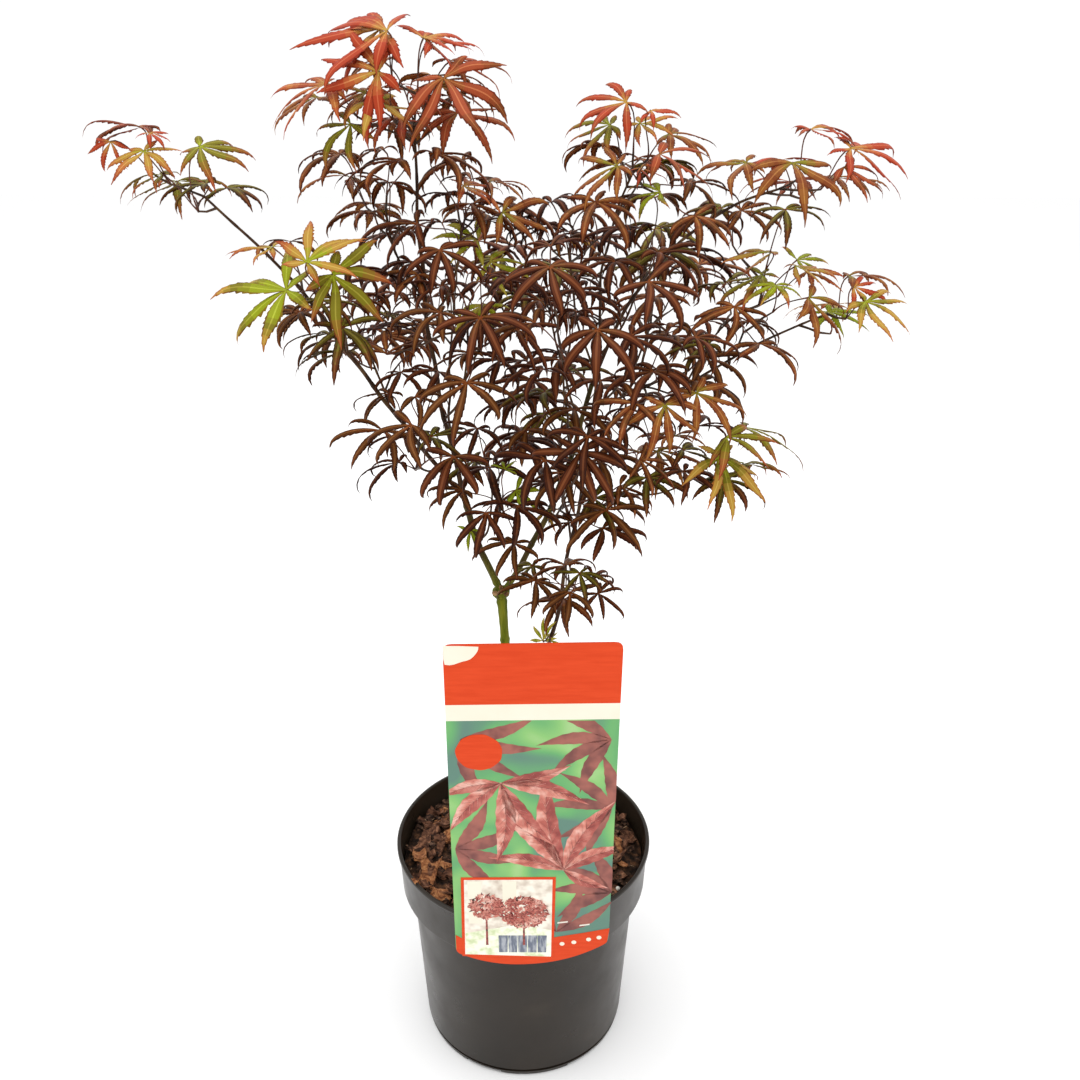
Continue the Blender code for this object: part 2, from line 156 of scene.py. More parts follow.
def noise_of(material, scale, detail=4, stretch=(1, 1, 1), distort=0.0):
    """A noise texture in object space, stretched along an axis where the surface has a grain."""
    tree = material.node_tree
    place = tree.nodes.new("ShaderNodeTexCoord")
    turn = tree.nodes.new("ShaderNodeMapping")
    turn.inputs["Scale"].default_value = stretch
    made = tree.nodes.new("ShaderNodeTexNoise")
    made.inputs["Scale"].default_value = scale
    made.inputs["Detail"].default_value = detail
    made.inputs["Distortion"].default_value = distort
    tree.links.new(place.outputs["Object"], turn.inputs["Vector"])
    tree.links.new(turn.outputs["Vector"], made.inputs["Vector"])
    return made


def ramp_of(material, source, stops):
    tree = material.node_tree
    ramp = tree.nodes.new("ShaderNodeValToRGB")
    elements = ramp.color_ramp.elements
    while len(elements) < len(stops):
        elements.new(0.5)
    for element, (place, colour) in zip(elements, stops):
        element.position = place
        element.color = (*colour, 1)
    tree.links.new(source, ramp.inputs["Fac"])
    return ramp


def mottle(material, scale, stops, detail=4, stretch=(1, 1, 1), distort=0.0):
    """Base colour from noise through a colour ramp."""
    source = noise_of(material, scale, detail, stretch, distort)
    ramp = ramp_of(material, source.outputs["Fac"], stops)
    shader = material.node_tree.nodes["Principled BSDF"]
    material.node_tree.links.new(ramp.outputs["Color"], shader.inputs["Base Color"])
    return ramp


def span_of(material, source, came_from, goes_to):
    """Maps one range of numbers to another."""
    tree = material.node_tree
    span = tree.nodes.new("ShaderNodeMapRange")
    span.inputs["From Min"].default_value, span.inputs["From Max"].default_value = came_from
    span.inputs["To Min"].default_value, span.inputs["To Max"].default_value = goes_to
    tree.links.new(source, span.inputs["Value"])
    return span.outputs["Result"]


def rough_by(material, scale, low, high, detail):
    tree = material.node_tree
    source = noise_of(material, scale, detail)
    result = span_of(material, source.outputs["Fac"], (0.3, 0.7), (low, high))
    tree.links.new(result, tree.nodes["Principled BSDF"].inputs["Roughness"])


def bump_by(material, scale, strength, depth, detail=4, stretch=(1, 1, 1)):
    tree = material.node_tree
    source = noise_of(material, scale, detail, stretch)
    bump = tree.nodes.new("ShaderNodeBump")
    bump.inputs["Strength"].default_value = strength
    bump.inputs["Distance"].default_value = depth
    tree.links.new(source.outputs["Fac"], bump.inputs["Height"])
    tree.links.new(bump.outputs["Normal"], tree.nodes["Principled BSDF"].inputs["Normal"])


print("helpers for finishes ready")

# %% [markdown]
# The pot is injection moulded: one thin wall that steps outward into a deep rim band, a rolled lip, and a
# small foot ring with drain notches. By hand it would be one profile line spun round the axis, and that is
# how it is made here: a single edge is extruded point by point in edit mode and spun through a full turn.

# %% Pot: profile and spin
band_z = POT_H - BAND_H
POT_PROFILE = [
    (0.0005, 0.0030), (BASE_R - 0.0115, 0.0030), (BASE_R - 0.0040, 0.0046), (BASE_R - WALL - 0.0002, 0.0100),
    (BODY_TOP_R - WALL, band_z - 0.0010), (BODY_TOP_R - WALL + 0.0012, band_z + 0.0012),
    (BAND_LOW_R - WALL - 0.0010, band_z + 0.0030), (BAND_LOW_R - WALL, band_z + 0.0046),
    (BAND_TOP_R - WALL, POT_H - 0.0016), (BAND_TOP_R - WALL + 0.0003, POT_H - 0.0005),
    (BAND_TOP_R - WALL + 0.0010, POT_H), (RIM_R - 0.0010, POT_H), (RIM_R - 0.0003, POT_H - 0.0004),
    (RIM_R, POT_H - 0.0011), (RIM_R, POT_H - 0.0026), (RIM_R - 0.0003, POT_H - 0.0032),
    (BAND_TOP_R + 0.0002, POT_H - 0.0036), (BAND_TOP_R, POT_H - 0.0042), (BAND_LOW_R, band_z + 0.0010),
    (BAND_LOW_R - 0.0003, band_z + 0.0002), (BAND_LOW_R - 0.0010, band_z - 0.0001),
    (BODY_TOP_R + 0.0010, band_z - 0.0003), (BODY_TOP_R + 0.0002, band_z - 0.0012),
    (BODY_TOP_R - 0.0002, band_z - 0.0030), (BASE_R + 0.0013, 0.0090), (BASE_R + 0.0012, FOOT_H + 0.0034),
    (BASE_R - 0.0014, FOOT_H + 0.0028), (BASE_R - 0.0014, FOOT_H + 0.0016),
    (BASE_R + 0.0008, FOOT_H + 0.0009), (BASE_R, 0.0012), (BASE_R - 0.0010, 0.0003),
    (BASE_R - 0.0018, 0.0), (0.0005, 0.0),
]
TURN_STEPS = 144
pot = draw_line("nursery_pot", [(r, 0, z) for r, z in POT_PROFILE])
bpy.ops.mesh.select_all(action="SELECT")
bpy.ops.mesh.spin(steps=TURN_STEPS, angle=2 * math.pi, center=(0, 0, 0), axis=(0, 0, 1))
bpy.ops.mesh.select_all(action="SELECT")
bpy.ops.mesh.remove_doubles(threshold=0.00002)
bpy.ops.mesh.select_all(action="DESELECT")
bpy.ops.mesh.select_non_manifold()
bpy.ops.mesh.edge_face_add()
bpy.ops.mesh.select_all(action="SELECT")
bpy.ops.mesh.normals_make_consistent(inside=False)
bpy.ops.object.mode_set(mode="OBJECT")
print("pot", len(pot.data.vertices), "points")

# %% [markdown]
# Six shallow notches in the foot ring let water run out. Each is a small box with softened edges, cut away
# with a Boolean, as a maker would cut them with a saw.

# %% Pot: drain notches
NOTCHES, NOTCH_W, NOTCH_H, NOTCH_IN, FIRST_NOTCH = 6, 0.029, 0.0030, 0.010, math.radians(-113)
reach = BASE_R - NOTCH_IN / 2 + 0.002
for k in range(NOTCHES):
    turn = 2 * math.pi * k / NOTCHES + FIRST_NOTCH
    place = (reach * math.cos(turn), reach * math.sin(turn), 0)
    bpy.ops.mesh.primitive_cube_add(size=1, location=place, rotation=(0, 0, turn))
    notch = start_piece(f"notch_{k}")
    notch.scale = (NOTCH_IN + 0.004, NOTCH_W, 2 * NOTCH_H)
    bpy.ops.object.transform_apply(location=False, rotation=False, scale=True)
    bevel = notch.modifiers.new("Soft", "BEVEL")
    bevel.width, bevel.segments = 0.0008, 2
    apply_modifiers(notch)
    cut = pot.modifiers.new("Notch", "BOOLEAN")
    cut.operation, cut.solver, cut.object = "DIFFERENCE", "EXACT", notch
    apply_modifiers(pot)
    bpy.data.objects.remove(notch, do_unlink=True)
print("pot with notches", len(pot.data.polygons), "faces")

# %% [markdown]
# The plastic is black, but in a bright room its satin skin picks up a warm grey. It carries a film of dust
# and a few scuffs, so colour and roughness both vary a little, and a very fine bump breaks up the
# highlight.

# %% Pot: satin plastic
plastic = finish("satin_black_plastic", (0.017, 0.012, 0.007), 0.36, 0.24)
mottle(plastic, 22, [(0.30, (0.013, 0.009, 0.0055)), (0.62, (0.020, 0.014, 0.009)),
                     (0.80, (0.034, 0.025, 0.017))], 8)
rough_by(plastic, 40, 0.26, 0.40, 6)
bump_by(plastic, 500, 0.05, 0.0004)
pot.data.materials.clear()
pot.data.materials.append(plastic)
fit_piece(pot, ["pot"], smooth=32)

# %% [markdown]
# The potting mix is peat and composted bark. Its body is a fine grid that is drawn out to a disc, mounded
# and roughened by noise. The loose flakes come in the next cells and lie on it.

# %% Potting mix: bed
bpy.ops.mesh.primitive_grid_add(x_subdivisions=96, y_subdivisions=96, size=2)
bed = start_piece("mix_bed")
MIX_R = BAND_LOW_R - WALL - 0.0004
MOUND, LUMPS, CRUMBLE, SUNK_EDGE = 0.0014, 0.0030, 0.0014, 0.002
for vertex in bed.data.vertices:
    x, y = vertex.co.x, vertex.co.y
    r, turn = max(abs(x), abs(y)) ** 0.9, math.atan2(y, x)
    place = Vector((MIX_R * r * math.cos(turn), MIX_R * r * math.sin(turn), 0))
    rise = MOUND * math.sin(math.pi * min(1, r * 1.1)) + LUMPS * noise.fractal(place * 55, 1.0, 2.0, 3)
    rise += CRUMBLE * noise.fractal(place * 260, 1.0, 2.0, 3)
    if r > 0.97:
        rise -= SUNK_EDGE
    place.z = MIX_TOP + rise
    vertex.co = place
mix_skin = finish("peat_and_fibre", (0.030, 0.016, 0.010), 0.95, 0.2)
mottle(mix_skin, 190, [(0.36, (0.012, 0.007, 0.005)), (0.52, (0.048, 0.024, 0.014)),
                       (0.70, (0.150, 0.068, 0.032))], 8)
bump_by(mix_skin, 420, 0.9, 0.0012, 6)
bed.data.materials.append(mix_skin)
fit_piece(bed, smooth=60)

# %% [markdown]
# Bark flakes are split, torn pieces. A few are modelled once from a cube: cut into smaller faces, pulled
# about at random, torn at their ends and curled. Every flake on the bed is a copy with its own mesh, size
# and turn. Big orange-brown flakes lie on the left, while the right is mostly fine dark fibre.

# %% Potting mix: master flakes
rng = random.Random(5)


def master_flake(name, size, cuts, seed):
    """One torn flake to copy: a cube cut up, shaken, torn at its ends and curled."""
    bpy.ops.mesh.primitive_cube_add(size=1)
    flake = start_piece(name)
    bpy.ops.object.mode_set(mode="EDIT")
    bpy.ops.mesh.select_all(action="SELECT")
    bpy.ops.mesh.subdivide(number_cuts=cuts)
    bpy.ops.transform.vertex_random(offset=0.09, seed=seed)
    bpy.ops.transform.resize(value=size)
    bpy.ops.object.mode_set(mode="OBJECT")
    bpy.ops.object.origin_set(type="ORIGIN_GEOMETRY", center="BOUNDS")
    flake.location = (0, 0, 0)
    for vertex in flake.data.vertices:
        along, across = vertex.co.x / size[0] * 2, vertex.co.y / size[1] * 2
        vertex.co.x *= 1 + 0.55 * noise.noise(Vector((across * 1.6, seed * 3.1, 0)))
        vertex.co.y *= 1 + 0.60 * noise.noise(Vector((along * 1.9, seed * 5.3, 4)))
        curl, bow = size[1] * 0.26 * math.sin(seed * 2.3), size[0] * 0.13 * math.sin(seed)
        vertex.co.z += curl * across ** 2 + bow * along ** 2
    bpy.ops.object.shade_smooth_by_angle(angle=math.radians(28))
    return flake


FLAKE_SIZES = [(0.014, 0.0085, 0.0017), (0.011, 0.0085, 0.0022), (0.018, 0.0080, 0.0018),
               (0.010, 0.0065, 0.0026), (0.0135, 0.0055, 0.0014), (0.0095, 0.0080, 0.0015)]
masters = [master_flake(f"flake_{k}", size, 3, k + 1) for k, size in enumerate(FLAKE_SIZES)]
crumbs = [master_flake(f"crumb_{k}", (0.009, 0.006, 0.0030), 2, k + 11) for k in range(4)]
print(len(masters), "master flakes and", len(crumbs), "crumbs")

# %% [markdown]
# Three barks: fresh orange-brown, weathered brown and nearly black. Each is mottled by stretched noise,
# like the layers of real pine bark, and has a torn bump.

# %% Potting mix: bark finishes
bright_bark = finish("orange_bark", (0.30, 0.11, 0.04), 0.85, 0.25)
mottle(bright_bark, 170, [(0.36, (0.130, 0.046, 0.020)), (0.49, (0.290, 0.108, 0.040)),
                          (0.66, (0.520, 0.240, 0.098))], 8, (1, 1, 2.5), 1.4)
bump_by(bright_bark, 520, 0.9, 0.0010, 8)
worn_bark = finish("weathered_bark", (0.11, 0.050, 0.028), 0.9, 0.25)
mottle(worn_bark, 180, [(0.34, (0.036, 0.014, 0.009)), (0.50, (0.120, 0.050, 0.027)),
                        (0.68, (0.320, 0.150, 0.082))], 8, (1, 1, 2.5), 0.9)
bump_by(worn_bark, 520, 0.9, 0.0010, 8)
dark_bark = finish("dark_peat_crumb", (0.03, 0.018, 0.013), 0.95, 0.2)
mottle(dark_bark, 300, [(0.36, (0.013, 0.007, 0.006)), (0.52, (0.060, 0.031, 0.020)),
                        (0.70, (0.180, 0.100, 0.062))], 6, (1, 1, 2.0), 0.4)
bump_by(dark_bark, 600, 0.7, 0.0008, 6)
print("bark finishes made")

# %% [markdown]
# Loose mix settles at random: flat flakes lie at small tilts, small ones fill between, and the big ones sit
# on top. Copies are dropped at seeded places, kept clear of the wall and the stem, and joined kind by kind.
# A few flakes that catch the eye are placed one by one, given as x, y, height over the bed in millimetres,
# turn, lean and size.

# %% Potting mix: scatter the flakes
def copy_flake(master, place, turned, stretch, material):
    flake = master.copy()
    flake.data = master.data.copy()
    bpy.context.scene.collection.objects.link(flake)
    flake.matrix_world = Matrix.Translation(place) @ turned @ stretch
    flake.data.materials.clear()
    flake.data.materials.append(material)
    return flake


STEM_ROOM = 0.0085


def scatter(masters, count, spread, scale, tilt, lift, material, name, placed=()):
    """Copies of the masters, each with its own mesh, dropped on the bed and joined into one piece."""
    made = []
    for x, y, z, turn, lean, size in placed:
        turned = Matrix.Rotation(math.radians(turn), 4, "Z") @ Matrix.Rotation(math.radians(lean), 4, "Y")
        made.append(copy_flake(masters[len(made) % len(masters)], (x * mm, y * mm, MIX_TOP + z * mm), turned,
                               Matrix.Scale(size, 4), material))
    while len(made) < count:
        r, turn = MIX_R * math.sqrt(rng.random()) * 0.98, rng.uniform(0, 2 * math.pi)
        x, y = r * math.cos(turn), r * math.sin(turn)
        if rng.random() > spread(x / MIX_R) or r < STEM_ROOM:
            continue
        master = rng.choice(masters)
        size = rng.uniform(*scale)
        half = max(master.dimensions.x, master.dimensions.y) * size / 2
        if r + half * 0.85 > MIX_R:
            continue
        turned = Matrix.Rotation(rng.uniform(0, 2 * math.pi), 4, "Z") @ Matrix.Rotation(
            rng.gauss(0, tilt), 4, "X") @ Matrix.Rotation(rng.gauss(0, tilt), 4, "Y")
        stretch = Matrix.Diagonal((size * rng.uniform(0.8, 1.25), size, size * rng.uniform(0.8, 1.3), 1))
        place = (x, y, MIX_TOP + lift + rng.uniform(0, 0.0022))
        made.append(copy_flake(master, place, turned, stretch, material))
    fit_piece(join_pieces(made, name), ["potting_mix"])


placed = [(-69, -34, 5.5, 75, -30, 1.45), (-60, -50, 5.0, 15, 24, 1.2), (-78, -10, 4.5, 100, 18, 1.15),
          (-56, 14, 4.5, 30, -14, 1.6), (-62, -18, 5.0, 140, 24, 1.2), (-50, 32, 5.0, 80, -20, 1.6),
          (-76.5, -54.9, 19.5, -50, 10, 0.32), (69, 6, 5.0, 30, -15, 0.80), (74, -20, 4.8, 120, 20, 0.55),
          (64, -36, 4.8, 70, 12, 0.50)]
scatter(masters, 45, lambda x: 0.95 if x < -0.1 else 0.16, (0.80, 1.45), 0.42, 0.0028, bright_bark,
        "bark_flakes_orange", placed)
scatter(masters, 210, lambda x: 0.9 if x < 0.1 else 0.65, (0.65, 1.30), 0.60, 0.0022, worn_bark,
        "bark_flakes_brown")
scatter(crumbs, 360, lambda x: 0.75 if x < 0 else 1.0, (0.30, 0.95), 0.7, 0.0018, dark_bark, "peat_crumbs")
for master in masters + crumbs:
    bpy.data.objects.remove(master, do_unlink=True)

# %% [markdown]
# Fine root and bark fibres, and a few white beads of expanded mineral, lie among the flakes. Both start as
# icospheres: the fibres are squeezed to slivers and scattered, and the beads are dented by noise.

# %% Potting mix: fibres and beads
fibre_skin = finish("pale_fibre", (0.34, 0.22, 0.13), 0.8, 0.3)
bead_skin = finish("white_mineral_bead", (0.80, 0.77, 0.70), 0.7, 0.3)
bpy.ops.mesh.primitive_ico_sphere_add(subdivisions=1, radius=0.5)
sliver = start_piece("sliver")
bpy.ops.transform.resize(value=(1, 0.10, 0.08))
bpy.ops.object.transform_apply(location=False, rotation=False, scale=True)
scatter([sliver], 90, lambda x: 0.3 if x < 0 else 1.0, (0.0040, 0.0080), 0.25, 0.0030, fibre_skin,
        "pale_fibres")
bpy.data.objects.remove(sliver, do_unlink=True)
for x, y, size in ((0.0690, -0.0440, 0.0032), (-0.0300, 0.0560, 0.0024), (0.0460, 0.0500, 0.0022),
                   (0.0560, -0.0180, 0.0018)):
    bpy.ops.mesh.primitive_ico_sphere_add(subdivisions=3, radius=size / 2, location=(x, y, MIX_TOP + 0.0036))
    bead = start_piece(f"mineral_bead_{round(x / mm)}")
    for vertex in bead.data.vertices:
        vertex.co *= 1 + 0.18 * noise.noise(vertex.co * 1500)
    bead.data.materials.append(bead_skin)
    fit_piece(bead, smooth=60)

# %% [markdown]
# The hang card is stiff printed sheet with rounded corners and a bowed foot, leaning out a little. Its
# outline starts as a filled circle whose points are moved to their places, and is extruded to the sheet's
# thickness. The helper works in the card's own plane, across and up in millimetres, so that every printed
# shape can be drawn with it.

# %% Card: helpers for flat shapes
CARD_PLACE = Matrix.Translation((CARD_X, CARD_Y - CARD_T / 2, CARD_LOW)) @ Matrix.Rotation(
    math.radians(90) + CARD_LEAN, 4, "X")
INK = 0.00005  # thickness of one film of ink


def sheet_shape(name, outline, low, high):
    """A closed flat slab in the card's own plane. Low and high count from the card's front face."""
    bpy.ops.object.select_all(action="DESELECT")
    bpy.ops.mesh.primitive_circle_add(vertices=len(outline), radius=1, fill_type="NGON")
    shape = start_piece(name)
    for vertex, (across, up) in zip(shape.data.vertices, outline):
        vertex.co = (across * mm, up * mm, CARD_T / 2 + low)
    bpy.ops.object.mode_set(mode="EDIT")
    bpy.ops.mesh.select_all(action="SELECT")
    bpy.ops.mesh.extrude_region_move(TRANSFORM_OT_translate={"value": (0, 0, high - low)})
    bpy.ops.mesh.select_all(action="SELECT")
    bpy.ops.mesh.normals_make_consistent(inside=False)
    bpy.ops.object.mode_set(mode="OBJECT")
    return shape


def rounded(corners, radius, steps=4):
    """The outline through these corners, each one rounded as far as its edges allow."""
    out = []
    for k, here in enumerate(corners):
        here, before, after = Vector(here), Vector(corners[k - 1]), Vector(corners[(k + 1) % len(corners)])
        cut_a, cut_b = (min(radius, 0.45 * (other - here).length) for other in (before, after))
        a, b = here + (before - here).normalized() * cut_a, here + (after - here).normalized() * cut_b
        for step in range(steps + 1):
            t = step / steps
            out.append(tuple(a * (1 - t) ** 2 + here * 2 * t * (1 - t) + b * t * t))
    return out


print("card helpers ready")

# %% [markdown]
# The card's corners are measured in its own plane, and its foot hangs down in one long curve between the
# lower two.

# %% Card: the sheet
TOP_L, TOP_R, FOOT_L, FOOT_R, SAG = (-52.4, 239.6), (52.6, 241.6), (-52.6, -9.5), (51.6, 0.5), 16.0
FOOT_STEPS = 12
foot_line = []
for k in range(1, FOOT_STEPS):
    t = -1 + 2 * k / FOOT_STEPS
    across = (FOOT_L[0] + FOOT_R[0]) / 2 + t * (FOOT_R[0] - FOOT_L[0]) / 2
    level = (FOOT_L[1] + FOOT_R[1]) / 2 + t * (FOOT_R[1] - FOOT_L[1]) / 2
    foot_line.append((across, level - SAG * (1 - abs(t) ** 2.2)))
card_outline = rounded([FOOT_R, TOP_R, TOP_L, FOOT_L] + foot_line, 5)
card = sheet_shape("hang_card_sheet", card_outline, -CARD_T, 0)
print("card", [round(v / mm, 1) for v in card.dimensions], "mm")

# %% [markdown]
# The inks are satin and slightly uneven. The sheet is cut across by two bisects, so that the red header,
# the cream stripe and the picture each have their own faces; the back stays bare board.

# %% Card: inks and fields
board = finish("bare_board", (0.80, 0.77, 0.68), 0.6, 0.4)
bump_by(board, 900, 0.05, 0.0002)
red_ink = finish("red_ink", (0.640, 0.052, 0.008), 0.45, 0.15)
mottle(red_ink, 60, [(0.3, (0.610, 0.047, 0.006)), (0.7, (0.670, 0.060, 0.011))], 3, (1, 1, 9))
cream_ink = finish("cream_ink", (0.80, 0.75, 0.61), 0.5, 0.15)
mottle(cream_ink, 40, [(0.3, (0.780, 0.730, 0.590)), (0.7, (0.820, 0.780, 0.650))], 2)
green_ink = finish("green_field", (0.12, 0.38, 0.12), 0.42, 0.45)
mottle(green_ink, 21, [(0.34, (0.090, 0.200, 0.150)), (0.47, (0.110, 0.360, 0.120)),
                       (0.60, (0.220, 0.480, 0.140)), (0.74, (0.420, 0.590, 0.280))], 1, (1, 1, 1), 0.8)
HEADER_LOW, STRIPE_LOW = 198.0, 186.3
only(card)
bpy.ops.object.mode_set(mode="EDIT")
for level in (HEADER_LOW, STRIPE_LOW):
    bpy.ops.mesh.select_all(action="SELECT")
    bpy.ops.mesh.bisect(plane_co=(0, level * mm, 0), plane_no=(0.018, -1, 0))
bpy.ops.object.mode_set(mode="OBJECT")
for ink in (board, red_ink, cream_ink, green_ink):
    card.data.materials.append(ink)
for face in card.data.polygons:
    up = face.center.y / mm
    if face.normal.z > 0.5:
        face.material_index = 1 if up > HEADER_LOW else 2 if up > STRIPE_LOW else 3
    elif abs(face.normal.z) < 0.5 and up > HEADER_LOW:
        face.material_index = 1
print("card faces", len(card.data.polygons))

# %% [markdown]
# The picture is a plain decorative one: narrow pointed leaves on green, with a small garden panel below.
# Printed shapes are thin films of ink, clipped where they meet the edge of the picture. Each later layer is
# a little thicker, so that it lies over the one before, and many small shapes of one ink are written as a
# single mesh.

# %% Card: printing helpers
PICTURE = ((-52.2, -20.0), (52.2, 186.0))


def clipped(outline, low, high):
    """The outline cut to a rectangle, one side at a time."""
    for axis, limit, sign in ((0, low[0], 1), (0, high[0], -1), (1, low[1], 1), (1, high[1], -1)):
        kept = []
        for a, b in zip(outline, outline[1:] + outline[:1]):
            da, db = (a[axis] - limit) * sign, (b[axis] - limit) * sign
            if da >= 0:
                kept.append(a)
            if da * db < 0:
                t = da / (da - db)
                kept.append((a[0] + (b[0] - a[0]) * t, a[1] + (b[1] - a[1]) * t))
        outline = kept
    return outline


prints, level = [], 1


def print_shape(outline, ink, low=PICTURE[0], high=PICTURE[1]):
    """One printed shape, as thick as its level of ink."""
    global level
    outline = clipped([tuple(p) for p in outline], low, high)
    if len(outline) < 3:
        return
    shape = sheet_shape(f"print_{len(prints)}", outline, 0, INK * level)
    shape.data.materials.append(ink)
    prints.append(shape)


def print_many(outlines, ink, low=PICTURE[0], high=PICTURE[1]):
    """Many small printed shapes of one ink as a single thin mesh."""
    verts, faces = [], []
    for outline in outlines:
        outline = clipped([tuple(p) for p in outline], low, high)
        count, base = len(outline), len(verts)
        if count < 3:
            continue
        turn = sum(a[0] * b[1] - b[0] * a[1] for a, b in zip(outline, outline[1:] + outline[:1]))
        outline = outline if turn > 0 else outline[::-1]
        for lift in (0, INK * level):
            verts += [(x * mm, y * mm, CARD_T / 2 + lift) for x, y in outline]
        faces.append(tuple(range(base + count, base + 2 * count)))
        faces.append(tuple(range(base, base + count))[::-1])
        faces += [(base + k, base + (k + 1) % count, base + count + (k + 1) % count, base + count + k)
                  for k in range(count)]
    mesh = bpy.data.meshes.new(f"print_{len(prints)}")
    mesh.from_pydata(verts, [], faces)
    mesh.materials.append(ink)
    shape = bpy.data.objects.new(mesh.name, mesh)
    bpy.context.scene.collection.objects.link(shape)
    prints.append(shape)


print("printing helpers ready")

# %% [markdown]
# Each printed leaflet in front is two halves in light and dark pink with a pale rib between and finer veins
# to the sides. Those behind are one plain dusky shape, as leaves out of focus are.

# %% Card: inks and leaflets
pink = finish("pink_ink", (0.62, 0.20, 0.15), 0.42, 0.45)
mottle(pink, 110, [(0.35, (0.400, 0.085, 0.060)), (0.50, (0.580, 0.190, 0.140)),
                   (0.66, (0.760, 0.430, 0.350))], 2)
rose = finish("rose_ink", (0.46, 0.09, 0.07), 0.42, 0.45)
mottle(rose, 110, [(0.35, (0.250, 0.036, 0.028)), (0.52, (0.390, 0.082, 0.060)),
                   (0.68, (0.540, 0.190, 0.145))], 2)
vein_ink = finish("pale_rib_ink", (0.78, 0.36, 0.29), 0.42, 0.45)
dusk_ink = finish("dusk_leaf_ink", (0.25, 0.085, 0.065), 0.42, 0.45)
mottle(dusk_ink, 90, [(0.35, (0.150, 0.038, 0.032)), (0.65, (0.330, 0.100, 0.072))], 2)
SPINE_STEPS = 14


def leaflet(hub, angle, length, width, inks):
    """A narrow pointed leaflet: two halves and a rib, or one plain shape if it is given one ink."""
    way = Vector((math.cos(math.radians(angle)), math.sin(math.radians(angle))))
    side = Vector((-way.y, way.x))
    spine, edge = [], []
    for k in range(SPINE_STEPS + 1):
        t = k / SPINE_STEPS
        bend = side * (0.07 * length * math.sin(t * math.pi) * (1 if angle % 2 else -1))
        tooth = 1 + (0.05 if k % 2 else -0.05)
        spine.append(Vector(hub) + way * length * t + bend)
        edge.append(side * width / 2 * (math.sin(math.pi * t ** 0.82) ** 1.15) * tooth)
    left, right = [p + e for p, e in zip(spine, edge)], [p - e for p, e in zip(spine, edge)]
    if len(inks) == 1:
        print_shape(right + left[::-1], inks[0])
        return
    print_shape(spine + left[::-1], inks[0])
    print_shape(right + spine[::-1], inks[1])
    halves = [side * 0.40 * (1 - k / len(spine)) for k in range(len(spine))]
    rib = [p + half for p, half in zip(spine, halves)]
    print_shape([p - half for p, half in zip(spine, halves)] + rib[::-1], inks[2])
    # side veins run forward from the rib, with a paler one and a darker one by turns
    for ink, first in ((inks[2], 2), (dusk_ink, 3)):
        veins = []
        for k in range(first, 13, 2):
            for edge_of in (left, right):
                a, b = spine[k - 1], spine[k] * 0.22 + edge_of[k] * 0.78 + way * 2.2
                thin = (b - a).normalized().orthogonal() * (0.20 if ink is dusk_ink else 0.24)
                veins.append([a - thin, b - thin * 0.3, b + thin * 0.3, a + thin])
        print_many(veins, ink)


print("leaflet inks ready")

# %% [markdown]
# Six dusky hands of leaflets lie behind, each on its own film level, and two pink hands in front. A hand is
# one hub with its leaflets' angles, lengths and widths.

# %% Card: printed leaves
for k, (hub, angles, length, width) in enumerate((
    ((-44, 172), (-8, 20, -38, -74), 50, 9), ((50, 118), (100, 140, 178, 215, 250), 44, 9),
    ((-50, 84), (62, 24, -12, -50), 46, 10), ((16, 10), (70, 105, 38, 150), 48, 9),
    ((48, 172), (152, 186, 216, 246), 46, 9), ((52, 46), (112, 146, 178, 212), 42, 10),
)):
    level = 1 + 0.15 * k
    for angle in angles:
        leaflet(hub, angle, length, width, (dusk_ink,))
level = 2
for angle, length, width in ((97, 84, 14), (132, 62, 13), (61, 66, 13), (168, 50, 11), (25, 48, 11),
                             (-28, 34, 9)):
    leaflet((20, 66), angle, length, width, (pink, rose, vein_ink))
level = 3
for angle, length, width in ((-93, 66, 13), (-130, 52, 12), (-56, 62, 13), (-17, 58, 12), (-164, 40, 10),
                             (18, 46, 10)):
    leaflet((-20, 138), angle, length, width, (rose, pink, vein_ink))
print(len(prints), "printed leaf shapes")

# %% [markdown]
# Over the picture come the plain red disc with its brushed edge, the bare cream tag in the corner and the
# red foot band, which follows the curve of the card's foot.

# %% Card: disc, tag and foot band
RAGGED = 0.010


def blob(centre, half_w, half_h, count=72):
    out = []
    for k in range(count):
        turn = 2 * math.pi * k / count
        r = 1 + RAGGED * math.sin(7 * turn + centre[0]) + RAGGED * 0.7 * math.sin(11 * turn)
        out.append((centre[0] + half_w * r * math.cos(turn), centre[1] + half_h * r * math.sin(turn)))
    return out


FULL = ((-52.2, -30.0), (52.3, 239.0))
level = 5
print_shape(blob((-33, 162), 14.4, 13.6), red_ink)
tag = [(-52.4, 239.4), (-52.4, 231)]
for k in range(12):
    turn = k * math.pi / 22
    tag.append((-51.5 + 20 * math.sin(turn), 238.5 - 12.4 * math.cos(turn) * (1 + 0.04 * math.sin(9 * turn))))
print_shape(tag, cream_ink, *FULL)
band_top = [(51.9, 13.5), (36, 9.5), (13, 4.5), (-10, 1.0), (-44, 1.0), (-52.5, 7.0)]
foot_edge = [(x, y + 0.15) for x, y in rounded([FOOT_R, (51.9, 13.5), (-52.5, 7.0), FOOT_L] + foot_line, 5)
             if y < -0.5 or (x > 45 and y < 3)]
foot_edge.sort(key=lambda p: p[0])
print_shape(band_top + foot_edge, red_ink, *FULL)
print("disc, tag and foot band printed")

# %% [markdown]
# The framed panel holds simple shapes: a pale wall and path, a slatted trough and two small red trees. A
# tree's crown is a few hundred small pointed leaves in three tints, scattered over an oval by a seeded
# rule.

